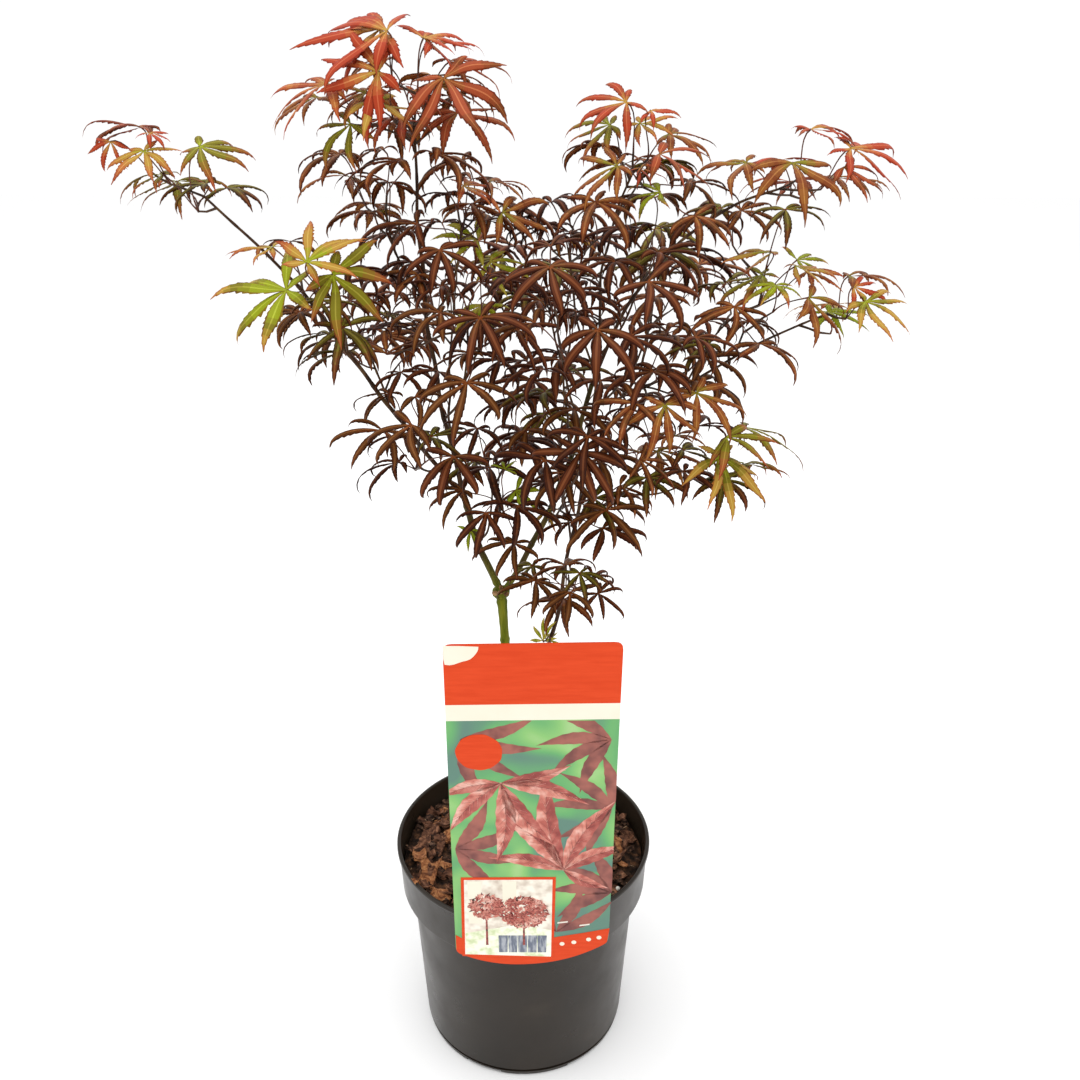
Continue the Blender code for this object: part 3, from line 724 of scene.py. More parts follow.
# %% Card: the panel
wall_ink = finish("panel_wall_ink", (0.80, 0.72, 0.60), 0.42, 0.45)
mottle(wall_ink, 120, [(0.35, (0.560, 0.470, 0.380)), (0.60, (0.860, 0.800, 0.690))], 2)
path_ink = finish("panel_path_ink", (0.83, 0.83, 0.66), 0.42, 0.45)
mottle(path_ink, 150, [(0.35, (0.560, 0.640, 0.360)), (0.55, (0.880, 0.880, 0.720))], 2)
bush_ink = finish("panel_bush_ink", (0.30, 0.06, 0.05), 0.42, 0.45)
mottle(bush_ink, 300, [(0.38, (0.070, 0.024, 0.018)), (0.52, (0.260, 0.045, 0.036)),
                       (0.66, (0.440, 0.120, 0.090))], 4)
tub_ink = finish("panel_tub_ink", (0.26, 0.29, 0.36), 0.42, 0.45)
mottle(tub_ink, 120, [(0.40, (0.120, 0.140, 0.190)), (0.60, (0.360, 0.380, 0.420))], 2, (5, 1, 1))
level = 6
PANEL = ((-45.4, -12.8), (12.8, 57.2))
print_shape([(-48.2, -12.8), (14.2, -15.6), (15.2, 59.8), (-47.2, 59.2)], red_ink, *FULL)
level = 7
print_shape([(-46.2, -11.0), (12.6, -13.2), (13.0, 57.8), (-45.2, 57.2)], wall_ink, *FULL)
level = 8
print_shape([(-46.1, -10.9), (12.5, -13.1), (12.6, 12), (-10, 17), (-45.4, 9)], path_ink, *PANEL)
print_many([[(x, 18), (x + 9.2, 18), (x + 9.2, 56), (x, 56)] for x in (-43, -20)], cream_ink, *PANEL)
level = 9
slats = [6.6 * k - 20 for k in range(5)]
print_many([[(x - 3.0, -9), (x + 2.8, -9), (x + 3.2, 7), (x - 3.2, 7)] for x in slats], tub_ink, *PANEL)
dots = random.Random(4)
for ink in (bush_ink, rose, pink):
    level += 1
    crown = []
    for x, low, wide, tall, count in ((-31, 31, 11, 11, 80), (-6, 25, 16, 14, 150)):
        for _ in range(count):
            turn, reach = dots.uniform(0, 2 * math.pi), math.sqrt(dots.random())
            at = Vector((x + wide * reach * math.cos(turn), low + tall * (0.25 + reach * math.sin(turn))))
            lean = dots.uniform(0, 2 * math.pi)
            way = Vector((math.cos(lean), math.sin(lean)))
            long, thin = way * 2.3, Vector((-way.y, way.x)) * 0.7
            crown.append([at - long, at - thin, at + long, at + thin])
        if ink is bush_ink:
            crown.append([(x - 0.8, -2), (x + 0.9, -2), (x + 0.5, low), (x - 0.4, low)])
    print_many(crown, ink, *PANEL)
level = 7
for across, up in ((20, -1), (28, 0.5), (38, 3.2), (45, 5.0)):
    print_shape(blob((across, up), 1.7, 1.7, 12), cream_ink, *FULL)
print(len(prints), "printed shapes")

# %% [markdown]
# Two short white slits show low on the right, where the card is punched. With those printed, all films are
# joined, and sheet and print are stood up together in the card's place.

# %% Card: slits and standing up
level = 12
for x, y in ((20.2, 19.2), (35.0, 16.8)):
    slit = [(x - 3.6, y - 0.9), (x + 3.2, y + 0.2), (x + 3.4, y + 1.0), (x - 3.4, y - 0.1)]
    print_shape(slit, board, *FULL)
picture = join_pieces(prints, "hang_card_print")
for piece in (card, picture):
    piece.matrix_world = CARD_PLACE
    fit_piece(piece, ["hang_card"])

# %% [markdown]
# Two tongues of the card go over the pot's rim and down inside it, and that is what the card hangs by. Each
# is a bent strip: its side line is extruded across, and Solidify gives it its thickness.

# %% Card: tongues over the rim
HOOK_W, HOOK_APART, HOOK_DOWN = 0.014, 0.054, 0.0100
front = CARD_Y - (POT_H - CARD_LOW) * math.tan(CARD_LEAN) + CARD_T * 0.2
top = POT_H + GAP * 2
for k, side in enumerate((-1, 1)):
    x = CARD_X + side * HOOK_APART / 2
    back = -math.sqrt((BAND_TOP_R - WALL) ** 2 - (abs(x) + HOOK_W / 2) ** 2) + 2 * GAP
    bend = [(front, top - 0.0006), (front + 0.0012, top), (back - 0.0008, top), (back, top - 0.0008),
            (back, top - 0.0008 - HOOK_DOWN)]
    tongue = draw_line(f"card_tongue_{k}", [(x - HOOK_W / 2, y, z) for y, z in bend])
    bpy.ops.mesh.select_all(action="SELECT")
    bpy.ops.mesh.extrude_region_move(TRANSFORM_OT_translate={"value": (HOOK_W, 0, 0)})
    bpy.ops.object.mode_set(mode="OBJECT")
    wall = tongue.modifiers.new("Thickness", "SOLIDIFY")
    wall.thickness, wall.offset = CARD_T * 0.7, 0
    apply_modifiers(tongue)
    tongue.data.materials.append(board)
    fit_piece(tongue, ["hang_card"], smooth=30)

# %% [markdown]
# The stems follow the frame's limbs. Each limb is a line from its parent to its tip with a bow and small
# kinks at the nodes, because maple twigs turn a little at every pair of leaves. The table gives the parent,
# where on it the limb starts, the tip, both radii and the bow. They are the frame's, but for the main stem,
# which bows a little less.

# %% Stems: the limb table
FORK = (-0.015, 0.000, 0.370)
LIMBS = {
    "main_stem": (None, 0, FORK, 0.0046, 0.0040, (-0.0003, 0, 0)),
    "left_limb": ("main_stem", 1.0, (-0.039, -0.005, 0.446), 0.0031, 0.0027, (-0.003, 0, 0)),
    "right_limb": ("main_stem", 0.985, (0.043, -0.015, 0.518), 0.0027, 0.0019, (0.006, 0, -0.004)),
    "second_stem": ("main_stem", 0.40, (0.049, 0.020, 0.545), 0.0024, 0.0016, (0.009, 0, -0.004)),
    "leader": ("left_limb", 1.0, (-0.058, -0.025, 0.666), 0.0025, 0.0011, (-0.007, 0, 0)),
    "left_bough": ("left_limb", 0.90, (-0.128, -0.030, 0.580), 0.0023, 0.0016, (-0.002, -0.003, 0.002)),
    "left_tip_bough": ("left_bough", 1.0, (-0.178, -0.022, 0.628), 0.0014, 0.0010, (-0.004, 0, 0.005)),
    "left_pad_bough": ("left_bough", 0.72, (-0.110, -0.055, 0.590), 0.0012, 0.0009, (0.004, -0.006, 0)),
    "left_mid_bough": ("left_bough", 0.48, (-0.098, 0.018, 0.534), 0.0012, 0.0009, (0, 0.006, -0.004)),
    "left_low_bough": ("left_bough", 0.16, (-0.062, -0.044, 0.484), 0.0012, 0.0009, (-0.004, -0.006, -0.003)),
    "leader_left_bough": ("leader", 0.56, (-0.078, -0.010, 0.620), 0.0012, 0.0009, (-0.004, 0.004, -0.004)),
    "leader_right_bough": ("leader", 0.50, (-0.035, -0.002, 0.610), 0.0012, 0.0009, (0.005, 0.004, -0.004)),
    "centre_left_bough": ("leader", 0.22, (-0.030, -0.045, 0.550), 0.0013, 0.0009, (0.004, -0.006, -0.004)),
    "centre_low_bough": ("left_limb", 0.50, (-0.018, -0.030, 0.454), 0.0012, 0.0009, (0.003, -0.005, -0.004)),
    "low_mid_bough": ("right_limb", 0.42, (0.028, -0.046, 0.458), 0.0012, 0.0009, (0, -0.006, -0.004)),
    "centre_front_bough": ("right_limb", 0.70, (0.024, -0.074, 0.546), 0.0013, 0.0009, (0, -0.006, -0.006)),
    "right_front_bough": ("right_limb", 0.92, (0.068, -0.062, 0.540), 0.0013, 0.0009, (0.004, -0.006, -0.005)),
    "right_top_bough": ("right_limb", 1.0, (0.146, -0.020, 0.633), 0.0018, 0.0010, (-0.011, 0, 0.019)),
    "low_front_bough": ("second_stem", 0.46, (0.030, -0.034, 0.398), 0.0011, 0.0008, (0.002, -0.005, -0.002)),
    "right_low_bough": ("second_stem", 0.60, (0.074, -0.030, 0.478), 0.0013, 0.0010, (0.004, -0.004, -0.005)),
    "right_tip_bough": ("right_low_bough", 0.55, (0.108, -0.060, 0.478), 0.0009, 0.0008, (0.004, -0.004, -0.004)),
    "right_far_bough": ("second_stem", 0.70, (0.176, -0.036, 0.566), 0.0016, 0.0009, (-0.004, -0.010, 0.013)),
    "right_mid_bough": ("right_far_bough", 0.50, (0.128, -0.012, 0.560), 0.0010, 0.0008, (0, 0.003, 0.004)),
    "centre_top_bough": ("second_stem", 0.90, (0.028, 0.008, 0.596), 0.0012, 0.0009, (-0.003, 0, -0.004)),
    "upper_mid_bough": ("second_stem", 1.0, (0.064, -0.006, 0.640), 0.0014, 0.0009, (-0.006, 0.003, -0.002)),
    "right_back_bough": ("second_stem", 0.94, (0.080, 0.040, 0.586), 0.0012, 0.0009, (0.004, 0.004, -0.004)),
    "back_left_bough": ("leader", 0.12, (-0.050, 0.092, 0.526), 0.0015, 0.0010, (-0.003, 0.004, -0.012)),
    "back_mid_bough": ("second_stem", 0.76, (0.018, 0.100, 0.540), 0.0014, 0.0010, (0, 0.004, -0.008)),
    "back_right_bough": ("second_stem", 0.84, (0.090, 0.104, 0.528), 0.0013, 0.0010, (0.004, 0.004, -0.008)),
    "back_low_bough": ("second_stem", 0.54, (0.026, 0.084, 0.452), 0.0013, 0.0009, (0, 0.004, -0.008)),
}
FLARE_R, FLARE_H, KNUCKLE_R = 0.0078, 0.016, 0.0056
GREEN_LIMBS = ("main_stem", "left_limb", "right_limb")
print(len(LIMBS), "limbs")

# %% [markdown]
# From the table come the lines themselves, with a radius at every point. The main stem gets a root flare at
# the mix and a neck below the fork. The kinks are seeded, so the lines are the same each time.

# %% Stems: lines
def along(points, share):
    """The point at this share of a line's length."""
    spans = [(b - a).length for a, b in zip(points, points[1:])]
    left = share * sum(spans)
    for a, b, span in zip(points, points[1:], spans):
        if left <= span:
            return a.lerp(b, left / span)
        left -= span
    return points[-1].copy()


def limb_lines():
    """The frame's limb lines with their radii, from the same seeded rule."""
    kinks = random.Random(11)
    lines = {}
    for name, (parent, share, tip, r0, r1, bow) in LIMBS.items():
        start = Vector((0.001, 0, MIX_TOP + GAP * 1.5)) if parent is None else along(lines[parent][0], share)
        tip, bow = Vector(tip), Vector(bow)
        length = (tip - start).length
        count = max(3, min(8, round(length / 0.022)))
        wobble = (0.012 if parent is None else 0.035) * length / count
        points, sizes = [], []
        for i in range(count + 1):
            t = i / count
            place = start.lerp(tip, t) + bow * (4 * t * (1 - t))
            if 0 < i < count:
                kink = Vector((kinks.uniform(0.4, 1) * (1 if i % 2 else -1), kinks.uniform(-1, 1), 0))
                place += kink * wobble
            points.append(place)
            sizes.append(r0 + (r1 - r0) * t)
        if parent is None:
            foot = points[0]
            span = (points[1] - foot).length
            flare = [foot.lerp(points[1], FLARE_H * k / span) for k in (0, 0.18, 0.5, 1.0)]
            neck = [points[-1] + Vector((0.10 * drop, 0, -drop)) for drop in (0.011, 0.003, 0)]
            points = flare + points[1:-1] + neck
            foot_sizes = [FLARE_R, FLARE_R * 0.83, FLARE_R * 0.68, r0 * 1.08]
            sizes = foot_sizes + sizes[1:-1] + [r1 * 1.15, KNUCKLE_R, r1]
        lines[name] = (points, sizes)
    return lines


lines = limb_lines()
print("leader", [tuple(round(c, 3) for c in p) for p in lines["leader"][0]])

# %% [markdown]
# Every limb, twig and leaf stalk is a tube of rings round a line. A maker could draw one as a bevelled
# curve, but bark relief needs more points than a curve gives, so the rings are written as a mesh. A limb's
# line is smoothed first, so that it doesn't look like bent wire.

# %% Stems: tubes
def smooth_line(points, sizes, step):
    """Catmull-Rom through the points, with a ring about every step."""
    padded = [points[0] * 2 - points[1]] + list(points) + [points[-1] * 2 - points[-2]]
    out, radii = [], []
    for i in range(1, len(padded) - 2):
        a, b, c, d = padded[i - 1:i + 3]
        count = max(1, round((c - b).length / step))
        for k in range(count):
            t = k / count
            out.append(0.5 * (2 * b + (c - a) * t + (2 * a - 5 * b + 4 * c - d) * t * t
                              + (3 * b - a - 3 * c + d) * t ** 3))
            radii.append(sizes[i - 1] + (sizes[i] - sizes[i - 1]) * t)
    return out + [points[-1].copy()], radii + [sizes[-1]]


def tube(points, radii, sides, relief=None):
    """Rings of points round a line, carried along without twist. Returns points and faces."""
    side = (points[1] - points[0]).orthogonal().normalized()
    verts, faces = [], []
    for i, place in enumerate(points):
        ahead = points[min(i + 1, len(points) - 1)] - points[max(i - 1, 0)]
        ahead.normalize()
        side = (side - ahead * side.dot(ahead)).normalized()
        across = ahead.cross(side)
        for k in range(sides):
            turn = 2 * math.pi * k / sides
            r = radii[i] * (relief(i, turn, place) if relief else 1)
            verts.append(place + (side * math.cos(turn) + across * math.sin(turn)) * r)
    for i in range(len(points) - 1):
        for k in range(sides):
            a, b = i * sides + k, i * sides + (k + 1) % sides
            faces.append((a, b, b + sides, a + sides))
    faces.append(tuple(range(sides))[::-1])
    faces.append(tuple(range(len(verts) - sides, len(verts))))
    return verts, faces


class Builder:
    """Gathers many small shapes into one mesh, with a material slot for each face."""

    def __init__(self):
        self.verts, self.faces, self.slots = [], [], []

    def add(self, verts, faces, slot=0):
        base = len(self.verts)
        self.verts.extend(verts)
        self.faces.extend(tuple(base + v for v in face) for face in faces)
        self.slots.extend([slot] * len(faces) if isinstance(slot, int) else slot)


print("tube and builder ready")

# %% [markdown]
# Young maple skin is thin and shows every node: each pair of leaves leaves a raised ring with a scar on
# both sides, and fine ridges run lengthwise. The wood is drawn slimmer than the solids that stand in for
# it, and comes near their full size only at the root flare.

# %% Stems: limb skins
SLIM_STEM, SLIM_GREEN, SLIM_BROWN = 0.74, 0.76, 0.66
NODE_GAP_GREEN, NODE_GAP_BROWN = 0.030, 0.024
RING_RISE, RING_WIDE, SCAR_RISE, SCAR_WIDE = 0.16, 0.0016, 0.14, 0.0022


def limb_skin(name, builder):
    points, sizes = lines[name]
    slim = SLIM_STEM if name == "main_stem" else SLIM_GREEN if name in GREEN_LIMBS else SLIM_BROWN
    if name == "main_stem":
        # full size at the root flare, slim from 9 cm up; the knuckle piece makes the swelling at the fork
        sizes = [size * max(slim, 0.96 - 2.5 * (place.z - MIX_TOP)) for place, size in zip(points, sizes)]
        sizes[-2] = sizes[-1]
    else:
        sizes = [size * slim for size in sizes]
    step = 0.0022 if name in GREEN_LIMBS or name == "second_stem" else 0.0030
    points, radii = smooth_line(points, sizes, step)
    spacing = NODE_GAP_GREEN if name in GREEN_LIMBS else NODE_GAP_BROWN
    travelled, at = 0.0, []
    for a, b in zip(points, points[1:]):
        at.append(travelled)
        travelled += (b - a).length
    at.append(travelled)
    shift = (sum(map(ord, name)) % 7) * 0.002

    def relief(i, turn, place):
        node = abs((at[i] + shift) % spacing - spacing / 2)
        ring = RING_RISE * math.exp(-((node / RING_WIDE) ** 2))
        scar = SCAR_RISE * math.exp(-((node / SCAR_WIDE) ** 2)) * max(0, math.cos(2 * turn))
        ridge = 0.025 * math.sin(5 * turn + 60 * at[i]) + 0.05 * noise.noise(place * 260)
        return 1 + ring + scar + ridge

    sides = 20 if radii[0] > 0.0024 else 12
    builder.add(*tube(points, radii, sides, relief))


print("rings 2 to 3 mm apart, nodes", NODE_GAP_BROWN / mm, "to", NODE_GAP_GREEN / mm, "mm apart")

# %% [markdown]
# Young maple bark is smooth and green, with fine pale lengthwise lines, and tans where the sun reaches it;
# the thinner boughs are purple-brown. The scars at the fork and the cut stubs are browner and rougher than
# the stem.

# %% Stems: bark finishes
green_skin = finish("green_stem_bark", (0.11, 0.12, 0.01), 0.5, 0.10)
BROWN = [(0.30, (0.020, 0.009, 0.005)), (0.52, (0.056, 0.025, 0.011)), (0.72, (0.125, 0.068, 0.024))]
low_ramp = mottle(green_skin, 70, [(0.30, (0.044, 0.058, 0.002)), (0.50, (0.098, 0.120, 0.003)),
                                   (0.72, (0.200, 0.200, 0.012))], 5, (3, 3, 0.5), 0.3)
# above the fork the green skin tans to brown
tree = green_skin.node_tree
high_ramp = ramp_of(green_skin, noise_of(green_skin, 60, 5, (3, 3, 0.6), 0.3).outputs["Fac"], BROWN)
height = tree.nodes.new("ShaderNodeSeparateXYZ")
tree.links.new(tree.nodes.new("ShaderNodeTexCoord").outputs["Object"], height.inputs["Vector"])
TAN_FROM, TAN_TO = 0.362, 0.398
blend = tree.nodes.new("ShaderNodeMix")
blend.data_type = "RGBA"
tanned = span_of(green_skin, height.outputs["Z"], (TAN_FROM, TAN_TO), (0.0, 0.80))
tree.links.new(tanned, blend.inputs["Factor"])
tree.links.new(low_ramp.outputs["Color"], blend.inputs["A"])
tree.links.new(high_ramp.outputs["Color"], blend.inputs["B"])
tree.links.new(blend.outputs["Result"], tree.nodes["Principled BSDF"].inputs["Base Color"])
bump_by(green_skin, 300, 0.35, 0.0006, 5, (3, 3, 0.5))
brown_skin = finish("brown_bough_bark", (0.06, 0.03, 0.018), 0.55, 0.12)
mottle(brown_skin, 60, BROWN, 5, (3, 3, 0.6), 0.3)
bump_by(brown_skin, 320, 0.35, 0.0005, 5, (3, 3, 0.6))
scar_skin = finish("scarred_knuckle_bark", (0.20, 0.15, 0.07), 0.85, 0.3)
mottle(scar_skin, 300, [(0.36, (0.080, 0.036, 0.012)), (0.52, (0.240, 0.120, 0.040)),
                        (0.66, (0.460, 0.280, 0.140))], 6)
bump_by(scar_skin, 600, 0.8, 0.0009, 6)
print("stem finishes made")

# %% [markdown]
# The limbs are gathered into two pieces, because two barks show: the green young wood of the stem and its
# fork, and the purple-brown boughs.

# %% Stems: pieces
brown_limbs = [name for name in LIMBS if name not in GREEN_LIMBS]
for name, names, slot, bark in (("green_stems", GREEN_LIMBS, "green_bark", green_skin),
                                ("brown_boughs", brown_limbs, "brown_bark", brown_skin)):
    skin = Builder()
    for limb in names:
        limb_skin(limb, skin)
    fit_piece(piece_from_arrays(name, skin.verts, skin.faces, skin.slots, [bark]), names)

# %% [markdown]
# The knuckle is a swelling at the fork with three healed leaf scars, and three short stubs show where
# shoots were cut. The swelling and the scars are icospheres, squashed and roughened by noise, and each stub
# is a short cylinder with a bevelled end.

# %% Stems: knuckle and stubs
fork = Vector(FORK)
for k, (offset, size, skin) in enumerate((
    ((0.0003, 0.0002, -0.0016), (0.0058, 0.0048, 0.0052), green_skin),
    ((-0.0034, -0.0032, -0.0006), (0.0021, 0.0015, 0.0017), scar_skin),
    ((0.0037, -0.0032, -0.0010), (0.0021, 0.0015, 0.0017), scar_skin),
    ((0.0001, -0.0038, 0.0004), (0.0019, 0.0014, 0.0012), scar_skin),
)):
    bpy.ops.mesh.primitive_ico_sphere_add(subdivisions=4, radius=1, location=fork + Vector(offset))
    lump = start_piece("fork_knuckle" if k == 0 else f"knuckle_scar_{k}")
    for vertex in lump.data.vertices:
        here = vertex.co + Vector((5 * k, 0, 0))
        swell = 1 + 0.16 * noise.noise(here * 2.2) + (0.16 * noise.noise(here * 5) if k else 0)
        vertex.co = Vector([c * r * swell for c, r in zip(vertex.co, size)])
    lump.data.materials.append(skin)
    fit_piece(lump, smooth=60)
for k, (place, way, radius, length) in enumerate((
    (fork + Vector((-0.0040, -0.0020, -0.0014)), Vector((-0.8, -0.6, 0.30)), 0.0012, 0.0022),
    (fork + Vector((0.0004, -0.0022, 0.0030)), Vector((0.1, -0.4, 1.0)), 0.0013, 0.0036),
    (Vector((0.0010, 0.0, 0.262)) + Vector((0.0028, -0.0010, 0)), Vector((0.9, -0.3, 0.35)), 0.0015, 0.0026),
)):
    bpy.ops.mesh.primitive_cylinder_add(vertices=20, radius=radius, depth=length, location=place)
    stub = start_piece(f"cut_stub_{k}")
    stub.rotation_euler = way.to_track_quat("Z", "Y").to_euler()
    bevel = stub.modifiers.new("Healed edge", "BEVEL")
    bevel.width, bevel.segments = radius * 0.3, 2
    apply_modifiers(stub)
    stub.data.materials.append(scar_skin)
    fit_piece(stub, smooth=50)

# %% [markdown]
# The crown grows from the boughs. For each leaf mass of the frame a set of leaf places is found.
# Neighbouring places share a twig end, because maple leaves come in opposite pairs. The twigs are led back
# to the nearest wood, so they branch as they would if they had grown outward. The table says where the
# masses are and how full.

# %% Crown: the sprays
# mass: bough, centre, half sizes, how many more leaves the rule deals out, kind of spray
SPRAYS = {
    "top_left_leaves": ("leader", (-0.068, -0.030, 0.694), (0.054, 0.056, 0.036), 9, "coral"),
    "leader_left_leaves": ("leader_left_bough", (-0.090, -0.014, 0.634), (0.030, 0.042, 0.030), 6, "bronze"),
    "leader_right_leaves": ("leader_right_bough", (-0.026, -0.006, 0.628), (0.032, 0.044, 0.028), 7, "warm"),
    "far_left_leaves": ("left_tip_bough", (-0.203, -0.020, 0.646), (0.046, 0.044, 0.026), 1, "lime_red"),
    "left_pad_leaves": ("left_pad_bough", (-0.117, -0.074, 0.604), (0.050, 0.048, 0.021), 0, "lime"),
    "left_mid_leaves": ("left_mid_bough", (-0.108, 0.030, 0.544), (0.040, 0.040, 0.030), 7, "olive"),
    "left_low_leaves": ("left_low_bough", (-0.066, -0.066, 0.496), (0.030, 0.036, 0.027), 4, "maroon"),
    "centre_left_leaves": ("centre_left_bough", (-0.026, -0.066, 0.574), (0.036, 0.044, 0.034), 5, "maroon"),
    "centre_low_leaves": ("centre_low_bough", (-0.014, -0.050, 0.478), (0.035, 0.036, 0.040), 6, "maroon"),
    "low_mid_leaves": ("low_mid_bough", (0.032, -0.062, 0.468), (0.034, 0.036, 0.030), 6, "maroon"),
    "centre_front_leaves": ("centre_front_bough", (0.024, -0.096, 0.564), (0.034, 0.044, 0.032), 3, "maroon"),
    "right_front_leaves": ("right_front_bough", (0.074, -0.084, 0.552), (0.036, 0.042, 0.030), 3, "maroon"),
    "low_front_leaves": ("low_front_bough", (0.030, -0.052, 0.398), (0.032, 0.030, 0.023), 2, "olive"),
    "right_low_leaves": ("right_low_bough", (0.086, -0.036, 0.492), (0.034, 0.040, 0.030), 6, "warm"),
    "right_tip_low_leaves": ("right_tip_bough", (0.124, -0.074, 0.488), (0.028, 0.032, 0.024), 3, "lime"),
    "right_top_leaves": ("right_top_bough", (0.176, -0.020, 0.648), (0.046, 0.046, 0.022), 3, "coral"),
    "right_mid_leaves": ("right_mid_bough", (0.140, -0.004, 0.580), (0.040, 0.046, 0.028), 1, "olive"),
    "right_far_leaves": ("right_far_bough", (0.197, -0.028, 0.572), (0.030, 0.040, 0.022), 2, "amber"),
    "centre_top_leaves": ("centre_top_bough", (0.020, 0.004, 0.614), (0.032, 0.046, 0.026), 6, "maroon"),
    "upper_mid_leaves": ("upper_mid_bough", (0.068, -0.008, 0.660), (0.040, 0.048, 0.028), 3, "bronze"),
    "right_back_leaves": ("right_back_bough", (0.088, 0.048, 0.598), (0.038, 0.044, 0.036), 7, "maroon"),
    "back_left_leaves": ("back_left_bough", (-0.056, 0.112, 0.552), (0.062, 0.054, 0.050), 16, "maroon"),
    "back_mid_leaves": ("back_mid_bough", (0.016, 0.124, 0.562), (0.054, 0.054, 0.052), 16, "maroon"),
    "back_right_leaves": ("back_right_bough", (0.096, 0.120, 0.546), (0.054, 0.052, 0.050), 11, "olive"),
    "back_low_leaves": ("back_low_bough", (0.022, 0.092, 0.468), (0.054, 0.046, 0.046), 13, "maroon"),
}
RED_MASSES = ("top_left_leaves", "right_top_leaves", "upper_mid_leaves")
AMBER_MASSES = ("left_pad_leaves", "right_far_leaves", "right_tip_low_leaves", "far_left_leaves")
print(len(SPRAYS), "leaf masses")
